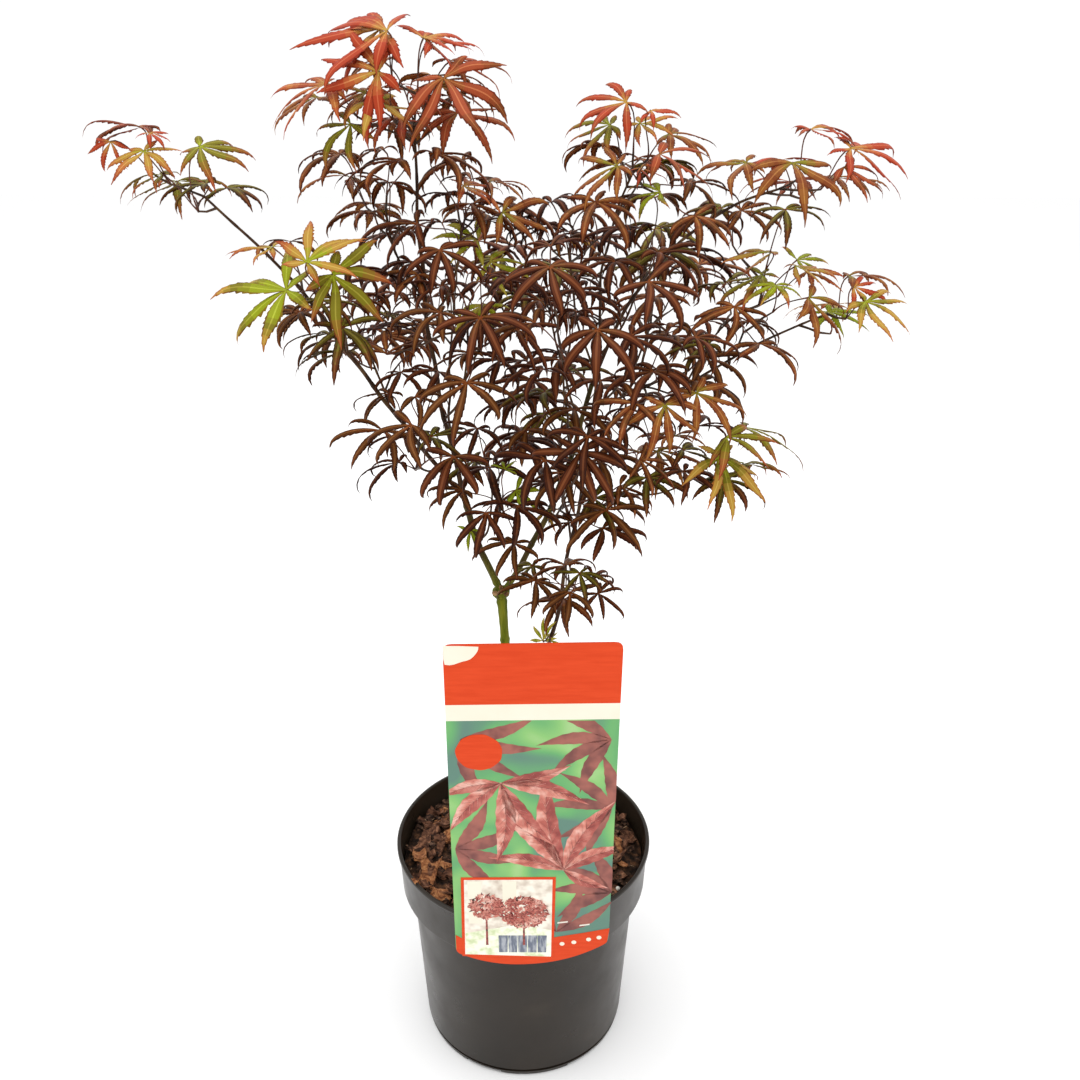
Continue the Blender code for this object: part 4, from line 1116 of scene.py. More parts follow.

# %% [markdown]
# The leaves on the front of the crown are laid out one by one, because their places make the tree's
# outline: where the leaf's hub is in millimetres, which way its middle finger points (0 is right, 90 away),
# how far its face is turned to the front, its tint and its size. The rest of the crown is filled by rule.

# %% Crown: leaf layout
# leaves low down and deep in the crown take the wine tint, a maroon darkened as painted shade
LEAF_LAYOUT = {
    "top_left_leaves": [
        (-71, -60, 693, 196, 54, "coral", 1.15), (-67, -50, 712, 166, 30, "coral", 1.35),
        (-72, -38, 713, 192, 24, "coral", 1.4), (-48, -30, 707, 10, 24, "coral", 0.95),
        (-39, -50, 690, -60, 34, "copper", 1.35), (-50, -35, 709, 50, 40, "coral", 0.95),
        (-101, -40, 687, 200, 22, "salmon", 1.15), (-91, -35, 667, 212, 35, "limebronze", 0.95),
        (-61, -15, 683, 60, 0, "redbronze", 1), (-35, -10, 672, -55, 14, "copper", 1.1),
        (-84, -20, 682, 225, 15, "bronze", 0.9), (-76, -50, 678, -45, 15, "limeamber", 0.85),
        (-58, 10, 679, 10, 0, "bronze", 0.8), (-112, -15, 680, 212, 16, "bronze", 1),
    ],
    "leader_left_leaves": [
        (-76, -20, 653, 165, 5, "russet", 0.8), (-64, -40, 649, 188, 5, "russet", 1.2),
        (-68, 10, 605, 200, 0, "maroon", 0.85),
    ],
    "leader_right_leaves": [
        (-47, -30, 652, -15, 8, "russet", 1.2), (-57, -40, 616, 185, 12, "maroon", 1.2),
        (-32, -20, 634, 20, 10, "salmon", 0.9), (-18, -5, 635, -5, 0, "bronze", 0.9),
        (-10, -30, 621, -10, 20, "bronze", 0.95), (-26, 0, 602, 180, 35, "sprout", 0.85),
    ],
    "far_left_leaves": [
        (-225, -25, 657, -110, 60, "coral", 0.5), (-211, -14, 664, 184, 14, "copper", 1.1),
        (-201, -30, 662, -40, 10, "coral", 0.5), (-204, -35, 653, -75, 25, "amber", 0.8),
        (-175, -30, 655, -20, 30, "limebronze", 0.95), (-199, -25, 640, 195, 5, "limebronze", 0.9),
        (-178, -15, 634, 190, 5, "moss", 0.9), (-170, -5, 631, -25, 8, "moss", 0.95),
    ],
    "left_pad_leaves": [
        (-138, -40, 603, 165, 15, "amber", 0.85), (-139, 10, 599, 100, 0, "umber", 0.9),
        (-109, -90, 603, 56, 56, "amber", 1), (-97, -85, 596, -35, 45, "limebronze", 1.15),
        (-123, -80, 587, 181, 32, "lime", 1.38), (-111, -60, 578, -30, 10, "moss", 0.8),
        (-121, -60, 571, 200, 10, "umber", 0.9), (-99, -20, 587, -5, 0, "wine", 1.1),
    ],
    "left_mid_leaves": [
        (-119, -30, 567, 180, 5, "umber", 0.95), (-114, -20, 550, 195, 5, "moss", 0.95),
        (-87, -30, 555, 30, 5, "wine", 0.95), (-104, 0, 566, 20, 5, "maroon", 0.9),
        (-74, -10, 524, -60, 0, "maroon", 0.9), (-58, -10, 544, -150, 0, "maroon", 0.9),
    ],
    "left_low_leaves": [
        (-59, -90, 516, -140, 15, "umber", 1.1), (-60, -60, 523, -20, 10, "umber", 0.85),
        (-37, -85, 496, -100, 15, "maroon", 1.15), (-80, -20, 513, 200, 0, "umber", 0.9),
        (-49, -30, 530, -100, 0, "maroon", 1),
    ],
    "centre_left_leaves": [
        (-43, -60, 605, -60, 20, "maroon", 1.15), (-45, -30, 580, 180, 0, "maroon", 1),
        (-64, -10, 590, 215, 5, "wine", 0.9), (-97, -70, 565, -50, 25, "moss", 1.25),
        (-75, -60, 548, 95, 20, "russet", 1), (-60, -20, 585, -120, 10, "russet", 0.9),
        (-28, -90, 540, -90, 15, "umber", 1.2), (-29, -50, 546, 185, 5, "umber", 0.85),
        (-20, -95, 576, -70, 18, "maroon", 1.2), (-1, -70, 564, -90, 10, "maroon", 1.1),
        (11, -30, 572, -90, 0, "maroon", 1), (-12, -50, 542, -100, 5, "wine", 1),
        (-19, 0, 589, -30, 30, "sprout", 0.85), (-23, 0, 564, -90, 30, "sprout", 0.85),
    ],
    "centre_low_leaves": [
        (-26, -40, 498, -90, 5, "wine", 0.9), (14, -50, 523, 190, 5, "moss", 1),
        (-9, -70, 483, 60, 20, "fresh", 0.45), (-3, -60, 466, -30, 50, "fresh", 0.6),
        (-1, -30, 513, -70, 0, "wine", 1), (-19, -85, 462, -95, 20, "wine", 1),
        (-4, -60, 432, -115, 5, "umber", 0.9), (-2, -75, 462, -60, 10, "wine", 1.1),
        (-33, -20, 423, -100, 20, "fresh", 0.5), (-35, -50, 462, 200, 5, "umber", 0.9),
        (16, -30, 441, -90, 10, "amber", 0.5),
    ],
    "low_mid_leaves": [
        (37, -100, 513, -95, 15, "wine", 1.1), (33, -102, 505, -90, 35, "maroon", 1.15),
        (14, -90, 496, -130, 20, "wine", 1.2), (31, -60, 516, -90, 0, "umber", 1),
        (58, -70, 473, -20, 10, "russet", 0.8), (31, -60, 446, 190, 5, "maroon", 0.9),
        (49, -85, 464, -75, 15, "umber", 1.1), (49, -60, 442, -50, 5, "maroon", 1.05),
    ],
    "centre_front_leaves": [
        (17, -60, 607, 80, 15, "maroon", 1.05), (16, -95, 602, -80, 20, "maroon", 1.15),
        (41, -100, 571, -95, 20, "maroon", 1.3), (31, -40, 580, -30, 0, "wine", 1.1),
        (22, -60, 545, -110, 5, "maroon", 1.1),
    ],
    "right_front_leaves": [
        (60, -80, 563, -40, 10, "wine", 1.15), (68, -80, 592, -50, 18, "maroon", 1.15),
        (76, -50, 602, -10, 8, "maroon", 1.1), (77, -60, 540, -60, 5, "maroon", 0.9),
        (62, -105, 533, -150, 18, "russet", 1), (77, -108, 533, -78, 42, "bronze", 0.98),
        (45, -70, 536, -90, 0, "maroon", 1.05), (110, -30, 547, 190, 5, "moss", 0.9),
        (108, -40, 541, -40, 5, "umber", 1.1), (101, -60, 532, -25, 5, "umber", 1.1),
        (95, -95, 536, -55, 22, "bronze", 1),
    ],
    "low_front_leaves": [
        (7, -20, 398, 200, 10, "moss", 0.7), (9, -50, 402, -100, 10, "umber", 0.95),
        (36, -60, 412, -90, 10, "moss", 0.75), (46, -30, 395, 20, 5, "maroon", 0.75),
        (30, -70, 404, -85, 15, "umber", 0.95), (49, -40, 388, -40, 5, "maroon", 0.8),
        (14, 2, 330, 94, 58, "sprout", 0.54), (17, 4, 329, 36, 40, "sprout", 0.3),
    ],
    "right_low_leaves": [
        (67, -90, 496, -30, 20, "russet", 0.9), (54, -50, 505, -60, 0, "wine", 1),
        (93, -70, 495, -20, 15, "moss", 0.95), (73, -75, 480, -60, 12, "moss", 1),
    ],
    "right_tip_low_leaves": [
        (113, -95, 511, -38, 14, "limebronze", 1.08), (111, -90, 498, -72, 28, "limeamber", 1.08),
        (93, -80, 486, -50, 10, "maroon", 1),
    ],
    "right_top_leaves": [
        (126, -20, 647, 184, 12, "bronze", 1), (143, -60, 650, -85, 24, "bronze", 1.15),
        (158, -30, 665, 8, 16, "redbronze", 0.95), (178, -40, 656, -20, 24, "coral", 1.2),
        (173, -50, 647, -34, 18, "copper", 0.85),
    ],
    "right_mid_leaves": [
        (117, 0, 620, 165, 5, "moss", 1), (127, -10, 620, -20, 5, "russet", 0.9),
        (148, -30, 623, -90, 10, "moss", 1), (145, -20, 598, 180, 5, "amber", 0.85),
        (167, 10, 589, 10, 5, "lime", 0.75), (157, -30, 592, -10, 5, "amber", 0.8),
        (138, -30, 587, 190, 5, "limebronze", 1), (142, -50, 585, -110, 10, "lime", 0.75),
        (166, -20, 587, -35, 10, "salmon", 0.75), (160, -55, 579, -35, 28, "bronze", 1.05),
        (120, -50, 573, -90, 22, "russet", 1), (134, -20, 558, 0, 5, "umber", 0.95),
        (136, -50, 552, -60, 15, "russet", 1.15),
    ],
    "right_far_leaves": [
        (186, -50, 584, -20, 45, "coral", 0.65), (190, -60, 578, -35, 18, "limeamber", 0.95),
        (178, -30, 566, -50, 10, "fresh", 0.85),
    ],
    "centre_top_leaves": [
        (41, -50, 629, -60, 12, "russet", 1.1), (62, -20, 610, 185, 5, "wine", 1.1),
        (54, -30, 594, -120, 5, "maroon", 1), (5, 40, 610, 0, 10, "amber", 0.6),
        (30, 50, 596, 20, 10, "amber", 0.7),
    ],
    "upper_mid_leaves": [
        (58, -20, 678, 192, 20, "redbronze", 1), (71, -25, 674, -35, 8, "coral", 0.55),
        (50, -10, 666, 186, 16, "limebronze", 0.95), (75, -45, 653, -20, 20, "copper", 1.12),
        (83, -10, 661, -15, 14, "bronze", 1), (52, -45, 647, 190, 30, "bronze", 0.98),
        (67, -20, 644, -60, 10, "coral", 0.55), (78, -25, 632, -170, 25, "lime", 0.8),
        (95, -50, 622, -50, 20, "russet", 1.05), (66, -18, 667, -28, 14, "amber", 0.75),
        (69, 10, 646, 20, 10, "russet", 0.9), (95, -20, 636, -10, 10, "umber", 1),
    ],
}
laid_out, by_rule = sum(map(len, LEAF_LAYOUT.values())), sum(spray[3] for spray in SPRAYS.values())
print(laid_out, "leaves laid out,", by_rule, "by rule")

# %% [markdown]
# The other leaves are dealt out inside their mass, as far from each other as they will go, so that the
# crown is evenly airy. Masses with laid leaves in front are filled behind them. The laid leaves give the
# crown's roof as seen from the front and a little above, and no dealt leaf may stand over it.

# %% Crown: leaf places
grow = random.Random(23)
TRIES = 60
LEAF_ROOM = Vector((0.014, 0.012, 0.006))
LEAF_LIFT = Vector((0, 0, 0.006))
SIGHT = math.tan(math.radians(24))
ROOF_REACH, ROOF_GAP = 0.013, 0.003
outline = [(row[0] * mm, (row[2] + SIGHT * row[1]) * mm) for rows in LEAF_LAYOUT.values() for row in rows]


def leaf_places(centre, half, count, taken, behind):
    """Places inside the ellipsoid, each the best of many tries at keeping away from those already taken."""
    middle = Vector(centre) + LEAF_LIFT
    room = [max(h - r, 0.35 * h) for h, r in zip(half, LEAF_ROOM)]
    made = []
    for _ in range(count):
        best, best_gap = None, -1
        for _ in range(TRIES):
            way = Vector([grow.gauss(0, 1) for _ in range(3)]).normalized() * grow.random() ** 0.40
            # fills behind laid leaves go to the back of the mass, and lower the farther back they are
            if behind:
                way.y = 1.7 * abs(way.y) - 0.15
            place = middle + Vector([w * r for w, r in zip(way, room)])
            if behind:
                place.z -= 0.40 * max(0, place.y - middle.y)
            roof = max((high for x, high in outline if abs(x - place.x) < ROOF_REACH), default=0)
            gap = min(((place - other).length for other in taken + made), default=1)
            if gap > best_gap and place.z + SIGHT * place.y < roof - ROOF_GAP:
                best, best_gap = place, gap
        if best:
            made.append(best)
    return made


print("outline of", len(outline), "points")

# %% [markdown]
# A twig starts from wood that is already there: the outer part of a limb, or a twig grown before. A start
# is cheaper the nearer it is and the better its heading fits, as a tree's own branches fork at narrow
# angles. Each twig is a Bezier line with a little unevenness, and its points become wood for the next.

# %% Crown: twigs
TWIG_STEP, PAIR_REACH, SHORT_TWIG, UNEVEN, STARTS = 0.007, 0.050, 0.030, 0.0006, 16
FIRST_SHARE = {"main_stem": 1.0, "left_limb": 0.45, "right_limb": 0.35, "second_stem": 0.28}


def bezier(a, b, c, d, count):
    out = []
    for k in range(count + 1):
        t = k / count
        out.append(a * (1 - t) ** 3 + b * 3 * t * (1 - t) ** 2 + c * 3 * t * t * (1 - t) + d * t ** 3)
    return out


# places a twig can start from, with the wood's heading there
wood = []
for name, (line, _) in lines.items():
    first = FIRST_SHARE.get(name, 0.30)
    for k in range(STARTS + 1):
        share = first + (1 - first) * k / STARTS
        here, back = along(line, share), along(line, max(0, share - 0.05))
        if (here - back).length > 1e-6:
            wood.append((here, (here - back).normalized(), name))


def grow_twigs(bough, centre, places):
    """Pairs the leaf places and joins each pair's node to the nearest wood. Returns twigs and stalks."""
    tip = lines[bough][0][-1]
    left, pairs = list(places), []
    while left:
        left.sort(key=lambda p: -(p - tip).length)
        first = left.pop(0)
        if left:
            other = min(left, key=lambda p: (p - first).length)
            if (other - first).length < PAIR_REACH:
                left.remove(other)
                pairs.append((first, other))
                continue
        pairs.append((first,))
    pairs.sort(key=lambda pair: (sum(pair, Vector()) / len(pair) - tip).length)
    twigs, stalks = [], []
    for pair in pairs:
        middle = sum(pair, Vector()) / len(pair)
        outward = (middle - tip).normalized() + (middle - Vector(centre)) * 12 + Vector((0, 0, 0.35))
        node = middle - outward.normalized() * grow.uniform(0.014, 0.022) - Vector((0, 0, 0.006))

        def cost(item):
            gap = node - item[0]
            aim = 2.5 - 1.5 * gap.normalized().dot(item[1])
            return gap.length * aim * (1 if item[2] == bough else 1.25)

        start, heading, _ = min(wood, key=cost)
        if (node - start).length < SHORT_TWIG:
            node.z = max(node.z, start.z - 0.002)
        span = (node - start).length
        if span > TWIG_STEP:
            straight = (node - start).normalized()
            arrive = (outward.normalized() + straight * 2).normalized()
            path = bezier(start, start + heading.lerp(straight, 0.75) * span * 0.33,
                          node - arrive * span * 0.33, node, max(2, round(span / TWIG_STEP)))
            for k in range(1, len(path) - 1):
                path[k] = path[k] + Vector([grow.uniform(-1, 1) for _ in range(3)]) * UNEVEN
            twigs.append(path)
            for k in range(1, len(path)):
                if k % 2 == 0 or k == len(path) - 1:
                    wood.append((path[k], (path[k] - path[k - 1]).normalized(), bough))
        else:
            node, arrive = start, heading
        for hub in pair:
            stalks.append((node, arrive, hub))
    return twigs, stalks


print(len(wood), "places where a twig can start")

# %% [markdown]
# A leaf's recipe is its tints along a finger from hub to tip, and its age: 0 is a flat young leaf and 1 an
# old arched one. Each kind of spray deals out its own few recipes. With these the crown can be grown, mass
# by mass.

# %% Crown: grow the sprays
# the wine and night tints in these recipes are maroon darkened as painted shade
RECIPES = {
    "maroon": ("umber maroon maroon maroon wine", 1.0),
    "wine": ("maroon wine wine night", 1.0),
    "umber": ("russet umber umber umber maroon", 0.92),
    "russet": ("bronze russet umber russet maroon", 0.8),
    "moss": ("olive moss moss umber maroon", 0.75),
    "olive": ("lime olive olive moss russet", 0.55),
    "bronze": ("olive bronze russet bronze russet", 0.5),
    "copper": ("bronze copper copper russet copper", 0.4),
    "redbronze": ("amber copper coral copper russet", 0.4),
    "coral": ("amber salmon coral coral coral copper", 0.3),
    "salmon": ("amber salmon copper salmon coral", 0.3),
    "amber": ("lime amber amber salmon copper", 0.22),
    "limeamber": ("lime olive amber amber salmon", 0.25),
    "limebronze": ("lime olive olive bronze copper", 0.4),
    "lime": ("lime lime lime olive amber copper", 0.25),
    "fresh": ("lime fresh fresh lime olive", 0.3),
    "sprout": ("pale pale lime pale pale amber", 0.25),
}
KINDS = {
    # the maroon spray deals out the darkest wine leaves two times in six, as painted shade for the leaves it
    # fills in deep inside the crown
    "maroon": ("maroon", "wine", "wine", "maroon", "umber", "moss"),
    "olive": ("moss", "umber", "moss", "russet", "maroon"),
    "warm": ("russet", "bronze", "umber", "maroon"),
    "bronze": ("bronze", "russet", "bronze", "moss"),
    "coral": ("bronze", "copper", "russet", "bronze", "redbronze"),
    "lime": ("limeamber", "limebronze", "moss"),
    "lime_red": ("limebronze", "moss", "bronze"),
    "amber": ("limeamber", "bronze", "amber"),
}
twig_paths, stalk_ends = [], []
taken = [Vector(row[:3]) * mm for rows in LEAF_LAYOUT.values() for row in rows]
for mass, (bough, centre, half, count, kind) in SPRAYS.items():
    laid = LEAF_LAYOUT.get(mass, [])
    places = {tuple(Vector(row[:3]) * mm): row[3:] for row in laid}
    dealt = leaf_places(centre, half, count, taken, bool(laid))
    taken += dealt
    for place in dealt:
        places[tuple(place)] = (None, 0, grow.choice(KINDS[kind]),
                                grow.uniform(1.15, 1.45) if "back" in mass else grow.uniform(0.95, 1.25))
    twigs, stalks = grow_twigs(bough, centre, [Vector(p) for p in places])
    twig_paths += twigs
    stalk_ends += [(mass, node, heading, hub, places[tuple(hub)]) for node, heading, hub in stalks]
print(len(twig_paths), "twigs,", len(stalk_ends), "leaves")

# %% [markdown]
# Twigs taper from about 1.6 mm thick to 1 mm, with a small ring at every third point, as at nodes. Leaf
# stalks are thinner, dark red, and bow upward before the leaf hangs over. Both are tubes of a few sides,
# joined kind by kind.

# %% Crown: twigs and leaf stalks
twig_skin = finish("twig_bark", (0.05, 0.025, 0.015), 0.5, 0.25)
mottle(twig_skin, 90, [(0.35, (0.030, 0.014, 0.009)), (0.60, (0.080, 0.040, 0.020))], 3)
stalk_skin = finish("leaf_stalk_red", (0.10, 0.026, 0.016), 0.45, 0.25)
mottle(stalk_skin, 80, [(0.35, (0.055, 0.020, 0.012)), (0.65, (0.150, 0.045, 0.022))], 2)
STALK_RADII = [0.00062, 0.00046, 0.00040, 0.00038, 0.00038, 0.00040, 0.00046, 0.00056]
TWIG_R, TWIG_TAPER, TWIG_RING = 0.00082, 0.00032, 1.25
twig_mesh, stalk_mesh = Builder(), Builder()
for path in twig_paths:
    count = len(path)
    radii = [(TWIG_R - TWIG_TAPER * k / (count - 1)) * (TWIG_RING if k % 3 == 2 else 1.0)
             for k in range(count)]
    twig_mesh.add(*tube(path, radii, 6))
leaves = []
for mass, node, heading, hub, (turn, face, recipe, size) in stalk_ends:
    span = (hub - node).length
    if turn is None:
        centre = Vector(SPRAYS[mass][1])
        stray = Vector((grow.gauss(0, 0.3), grow.gauss(0, 0.3), 0))
        out = (hub - node).normalized() + (hub - centre) * 14 + stray
        turn = math.degrees(math.atan2(out.y, out.x))
    forward = Matrix.Rotation(math.radians(face), 3, "X") @ Matrix.Rotation(math.radians(turn), 3, "Z")
    flat = forward @ Vector((1, 0, 0))
    rise = Vector((0, 0, 1))
    away = (heading * 0.6 + rise * 0.5 + (hub - node).normalized() * 0.6).normalized()
    arrive = (flat * 0.7 + rise * 0.4).normalized()
    path = bezier(node, node + away * span * 0.36, hub - arrive * span * 0.30, hub, len(STALK_RADII) - 1)
    stalk_mesh.add(*tube(path, STALK_RADII, 5))
    leaves.append((mass, hub, forward, recipe, size))
for name, built, skin, slot in (("twigs", twig_mesh, twig_skin, "brown_bark"),
                                ("leaf_stalks", stalk_mesh, stalk_skin, "maroon_leaf")):
    fit_piece(piece_from_arrays(name, built.verts, built.faces, built.slots, [skin]))

# %% [markdown]
# Old leaves are maroon, leaves in the sun turn russet and bronze, and new ones are coral, amber or lime.
# The colours are plain, one each for the edge, blade and rib of a finger, and are dealt out leaf by leaf in
# each spray. Plain colours are enough, because a leaf is small and its ribs, edges and arching give the rest,
# together with painted light: the edge tint is darker, partly the leaf's own darker rim and partly painted
# shade where the edge rolls under, and the rib tint is lighter, partly the pale midrib and partly a painted
# sheen along the ridge.

# %% Leaves: tints
def tone(r, g, b):
    """A colour from its everyday 0 to 255 numbers."""
    return tuple(((c / 255 + 0.055) / 1.055) ** 2.4 for c in (r, g, b))


# each tint gives edge, blade and rib: the darker edge is partly painted shade under the rolled edge, the lighter
# rib partly a painted sheen along the ridge
TINTS = {
    # the darkest two tints are maroon darkened as painted shade for leaves deep in the crown and low down
    "night": ((30, 9, 2), (44, 18, 6), (70, 40, 22)),
    "wine": ((40, 12, 2), (61, 26, 9), (95, 51, 27)),
    "maroon": ((50, 17, 3), (82, 38, 16), (111, 61, 33)),
    "umber": ((54, 24, 4), (86, 47, 16), (116, 73, 36)),
    "russet": ((84, 34, 9), (115, 58, 26), (150, 94, 52)),
    "moss": ((54, 36, 6), (84, 72, 15), (118, 106, 40)),
    "olive": ((84, 56, 12), (112, 104, 22), (142, 132, 46)),
    "bronze": ((104, 50, 18), (133, 81, 34), (166, 116, 58)),
    "copper": ((108, 39, 17), (146, 66, 37), (176, 100, 62)),
    "coral": ((124, 37, 16), (157, 57, 31), (180, 88, 56)),
    "salmon": ((134, 65, 28), (167, 98, 49), (192, 136, 78)),
    "amber": ((142, 86, 32), (165, 127, 52), (186, 154, 74)),
    "lime": ((120, 96, 22), (133, 141, 20), (160, 169, 50)),
    "fresh": ((104, 106, 18), (129, 141, 24), (158, 170, 56)),
    # pale is the light green of new shoots, lightened further as painted light shining through the thin leaves
    "pale": ((150, 122, 40), (172, 160, 58), (192, 180, 90)),
    "spot": ((100, 48, 16), (112, 56, 22), (128, 70, 30)),
}
PLACES = ("edge", "blade", "rib")
inks, numbers = [], {}


def ink_number(tint, place):
    """The number of a leaf finish. Two names joined by "to" are the tint halfway between them."""
    if (tint, place) not in numbers:
        parts = [TINTS[part][PLACES.index(place)] for part in tint.split("_to_")]
        numbers[tint, place] = len(inks)
        colour = tone(*[sum(c) / len(parts) for c in zip(*parts)])
        inks.append(finish(f"leaf_{tint}_{place}", colour, 0.42, 0.07))
    return numbers[tint, place]


print(len(TINTS), "leaf tints")

# %% [markdown]
# Each leaf is a hand of five or seven narrow fingers. The longest are about 35 to 50 mm long and 5 to 8 mm
# wide, as on the real tree. A finger is a strip six points wide: it narrows to a long tip, its edges roll
# under and are toothed, and it arches down. By hand it would be a plane cut into rows and bent. Written as
# arrays it can be made nearly two thousand times. Old leaves and young ones have outlines of their own.

# %% Leaves: a finger
ROWS = 23
YOUNG, OLD, OLD_FROM = False, True, 0.6
ACROSS = {YOUNG: (-1, -0.74, -0.10, 0.10, 0.74, 1), OLD: (-1, -0.64, -0.19, 0.19, 0.64, 1)}
OUTLINE_AT = [0, 0.05, 0.14, 0.28, 0.44, 0.60, 0.75, 0.87, 0.95, 1.0]
OUTLINE_W = {YOUNG: [0.18, 0.22, 0.46, 0.82, 1.0, 0.90, 0.60, 0.30, 0.12, 0.02],
             OLD: [0.24, 0.30, 0.60, 0.90, 1.0, 0.92, 0.70, 0.42, 0.17, 0.03]}
FINGER_FACES = [(i * 6 + j, (i + 1) * 6 + j, (i + 1) * 6 + j + 1, i * 6 + j + 1)
                for i in range(ROWS - 1) for j in range(5)]


def finger(length, width, rise, droop, hook, curl, fold, teeth, twist, old):
    """Points of one finger, 6 across in each row, with x along it and z up."""
    wave, phase = (0.05 if old else 0.11), grow.random()
    t = np.arange(ROWS) / (ROWS - 1)
    t[1:-1:2] += 0.3 / (ROWS - 1)
    pitch = rise - droop * t ** 1.5 - hook * np.clip((t - 0.68) / 0.32, 0, 1) ** 1.4
    yaw = curl * t ** 1.4 + wave * np.sin(2 * math.pi * (1.2 * t + phase))
    pitch = pitch + wave * np.sin(2 * math.pi * (1.1 * t + 2.3 * phase))
    ahead = np.stack([np.cos(pitch) * np.cos(yaw), np.cos(pitch) * np.sin(yaw), np.sin(pitch)], 1)
    spans = np.diff(t, prepend=0)[:, None] * length
    spine = np.cumsum(ahead * spans, 0)
    side = np.stack([-np.sin(yaw), np.cos(yaw), 0 * yaw], 1)
    up = np.cross(ahead, side)
    roll = (twist * t)[:, None]
    side, up = side * np.cos(roll) + up * np.sin(roll), up * np.cos(roll) - side * np.sin(roll)
    half = width / 2 * np.interp(t, OUTLINE_AT, OUTLINE_W[old])
    odd = np.arange(ROWS) % 2
    bite = teeth * np.clip((t - 0.12) / 0.15, 0, 1)
    points = np.empty((ROWS, 6, 3))
    for j, s in enumerate(ACROSS[old]):
        rim = abs(s) == 1
        ragged = np.array([grow.uniform(-1, 1) for _ in range(ROWS)]) if rim else 0
        reach = half * (1 + bite * (np.where(odd, 1, -1) + 0.7 * ragged) if rim else 1)
        out = np.sign(s) * np.sin(abs(s) * fold) / fold * reach
        low = (1 - np.cos(abs(s) * fold)) / fold * reach + 0.10 * half * (1 if abs(s) < 0.2 else ragged)
        # the teeth point forward
        forward = ahead * (odd * bite * 3.5 * length / ROWS)[:, None] if rim else 0
        points[:, j] = spine + side * out[:, None] - up * low[:, None] + forward
    return points.reshape(-1, 3)


print(len(FINGER_FACES), "faces in a finger")

# %% [markdown]
# The fingers spread from one hub, the middle ones longest. Old leaves arch like an umbrella, young ones lie
# flatter and wider. Each face of a finger takes its tint from the leaf's recipe, straying a little, so that
# no two leaves match.

# %% Leaves: a hand of fingers
FINGERS = {5: ((0, 1.0), (43, 0.92), (-43, 0.92), (90, 0.64), (-90, 0.64)),
           7: ((0, 1.0), (38, 0.97), (-38, 0.97), (78, 0.80), (-78, 0.80), (122, 0.44), (-122, 0.44))}
LEAF_LENGTH = 0.0355


def tone_list(ramp, age):
    """A material number for each face of a finger. The tints run from hub to tip and stray a little."""
    out, shift = [], grow.gauss(0, 0.35)
    for i in range(ROWS - 1):
        # edge faces take the darker tint, partly painted shade, and rib faces the lighter one, partly a painted
        # sheen
        for place in ("edge", "blade", "rib", "blade", "edge"):
            stray = shift * min(1, i / 4) + grow.gauss(0, 0.06 + 0.30 * age ** 3)
            at = (i + 0.5) / (ROWS - 1) * (len(ramp) - 1) + stray
            step = max(0, min(2 * (len(ramp) - 1), round(2 * at)))
            tint = "_to_".join(sorted({ramp[step // 2], ramp[(step + 1) // 2]}))
            out.append(ink_number("spot" if i == 0 and age > OLD_FROM else tint, place))
    return out


def add_leaf(built, hub, pose, recipe, size):
    ramp, age = RECIPES[recipe]
    ramp = ramp.split()
    count = 5 if size < 0.7 or grow.random() < 0.45 else 7
    tilt, roll = math.radians(grow.uniform(2, 14) + 6 * age), math.radians(grow.gauss(0, 8))
    pose = pose @ Matrix.Rotation(roll, 3, "X") @ Matrix.Rotation(tilt, 3, "Y")
    length = LEAF_LENGTH * grow.uniform(0.94, 1.06) * size
    width = length * (0.176 - 0.030 * age) * grow.uniform(0.92, 1.10)
    for angle, share in FINGERS[count]:
        angle = math.radians(angle + grow.gauss(0, 7))
        points = finger(
            length=length * share * grow.uniform(0.86, 1.10), width=width * (0.72 + 0.28 * share),
            rise=math.radians(2 + 22 * age + grow.gauss(0, 6)),
            droop=math.radians(26 + 66 * age + grow.gauss(0, 10)),
            hook=math.radians(8 + 44 * age) * grow.uniform(0.3, 1.5), curl=math.radians(grow.gauss(0, 15)),
            fold=0.45 + 0.60 * age, teeth=0.12 - 0.07 * age, twist=math.radians(grow.gauss(0, 26 - 12 * age)),
            old=age > OLD_FROM)
        turned = pose @ Matrix.Rotation(angle, 3, "Z")
        points = points @ np.array(turned).T + np.array(hub)
        built.add([tuple(p) for p in points], FINGER_FACES, tone_list(ramp, age))


print(len(leaves), "leaves to make")

# %% [markdown]
# The leaves are joined into five pieces: red and amber ones at the tips, and the maroon ones in front,
# middle and back, so that each piece stays light enough to handle. Each piece keeps only the tints that it
# uses.

# %% Leaves: pieces
leaf_meshes = {name: Builder() for name in (
    "maroon_leaves_front", "maroon_leaves_middle", "maroon_leaves_back", "red_leaves", "amber_leaves")}
masses_in = {name: set() for name in leaf_meshes}
MIDDLE_MASSES = ("leader_left_leaves", "leader_right_leaves", "left_mid_leaves", "right_mid_leaves",
                 "centre_top_leaves", "right_low_leaves")


def piece_for(mass):
    for name, masses in (("red_leaves", RED_MASSES), ("amber_leaves", AMBER_MASSES),
                         ("maroon_leaves_middle", MIDDLE_MASSES)):
        if mass in masses:
            return name
    return "maroon_leaves_back" if "back" in mass else "maroon_leaves_front"


for mass, hub, forward, recipe, size in leaves:
    masses_in[piece_for(mass)].add(mass)
    add_leaf(leaf_meshes[piece_for(mass)], hub, forward, recipe, size)
for name, built in leaf_meshes.items():
    used = sorted(set(built.slots))
    place_of = {old: new for new, old in enumerate(used)}
    piece = piece_from_arrays(name, built.verts, built.faces, [place_of[s] for s in built.slots],
                              [inks[s] for s in used])
    fit_piece(piece, sorted(masses_in[name]))
    print(len(used), "tints,", 2 * len(piece.data.polygons), "triangles")

# %% [markdown]
# The stage is a plain pale floor, 12 metres across, lit softly from all round by a white room, with one
# large lamp above and a weak one at the right.

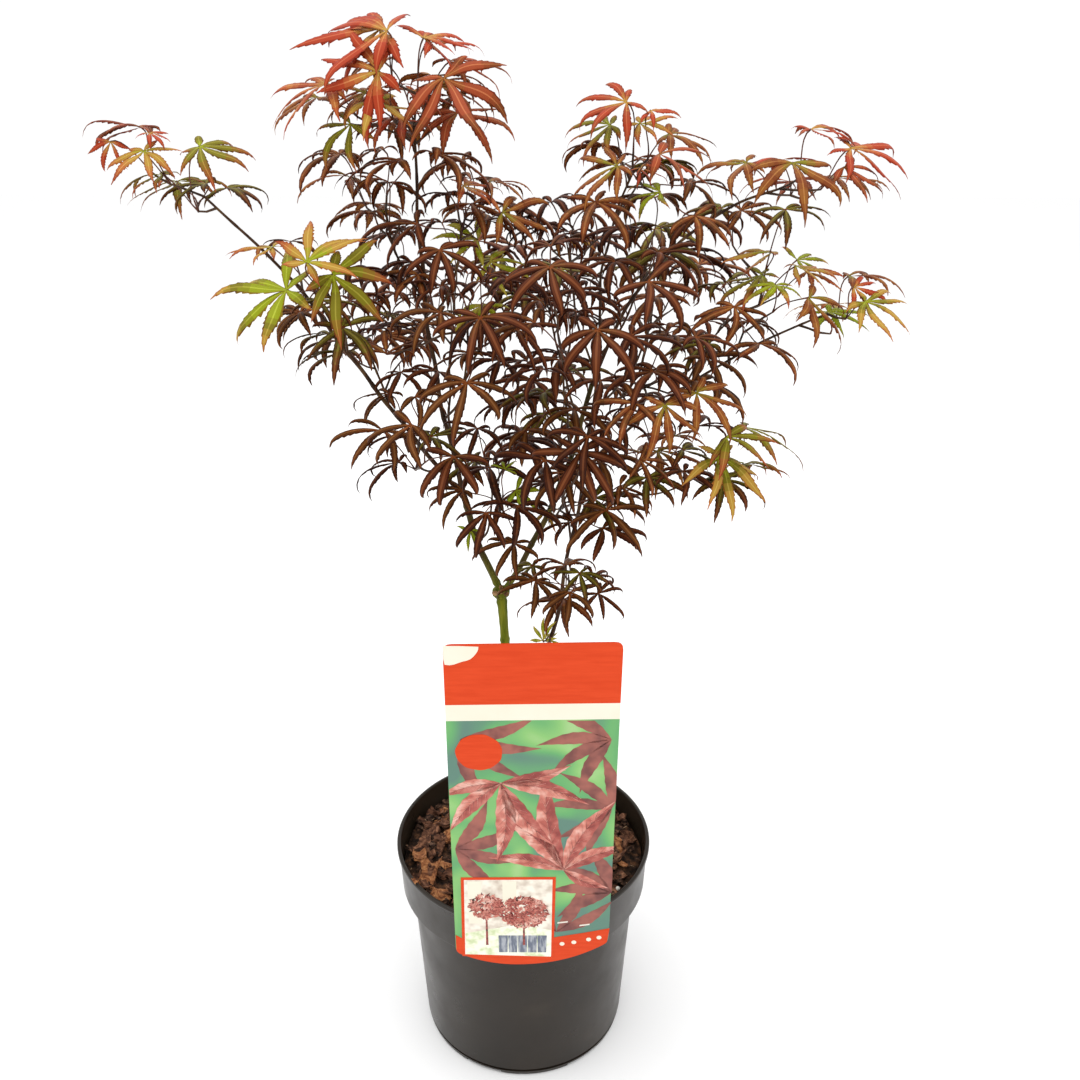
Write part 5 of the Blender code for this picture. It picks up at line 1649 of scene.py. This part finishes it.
# %% Stage and light
bpy.ops.mesh.primitive_plane_add(size=12)
floor = start_piece("floor")
paper = finish("pale_floor", (0.95, 0.95, 0.95), 0.9, 0.0)
mottle(paper, 0.6, [(0.3, (0.945, 0.945, 0.945)), (0.7, (0.955, 0.955, 0.955))], 1)
floor.data.materials.append(paper)

world = bpy.data.worlds.new("soft_room")
bpy.context.scene.world = world
world.use_nodes = True
room = world.node_tree.nodes["Background"]
room.inputs["Color"].default_value = (1, 1, 1, 1)
room.inputs["Strength"].default_value = 1.04


def lamp(name, place, target, size, power):
    bpy.ops.object.light_add(type="AREA", location=place)
    light = bpy.context.active_object
    light.name = name
    light.data.size, light.data.energy = size, power
    light.rotation_euler = (Vector(target) - Vector(place)).to_track_quat("-Z", "Y").to_euler()


CROWN_FOOT = (0, 0, 0.35)
lamp("key_lamp", (-0.30, -0.25, 2.4), CROWN_FOOT, 2.6, 34)
lamp("fill_lamp", (1.4, -0.8, 1.3), CROWN_FOOT, 1.2, 3)
print("floor, room and two lamps")

# %% [markdown]
# The camera stands about as high as the crown's top and looks down at the pot at about 24 degrees. Its axes
# are built from its pitch, yaw and roll, so that nothing depends on the order of turns.

# %% Camera
SENSOR, LENS = 36.0, 35.5545
EYE = (0.01014013, -0.64949205, 0.69446889)
pitch, yaw, roll = (math.radians(a) for a in (23.840935, 0.13978, 0.20499))
ahead = Vector((math.sin(yaw) * math.cos(pitch), math.cos(yaw) * math.cos(pitch), -math.sin(pitch)))
right = Vector((math.cos(yaw), -math.sin(yaw), 0))
up = right.cross(ahead)
right, up = math.cos(roll) * right + math.sin(roll) * up, -math.sin(roll) * right + math.cos(roll) * up
bpy.ops.object.camera_add(location=EYE)
camera = bpy.context.active_object
camera.matrix_world = Matrix([(right[i], up[i], -ahead[i], EYE[i]) for i in range(3)] + [(0, 0, 0, 1)])
camera.data.sensor_width, camera.data.lens = SENSOR, LENS
camera.data.clip_start = 0.01
bpy.context.scene.camera = camera
bpy.context.scene.view_settings.view_transform = "Standard"
print("camera lens", camera.data.lens)
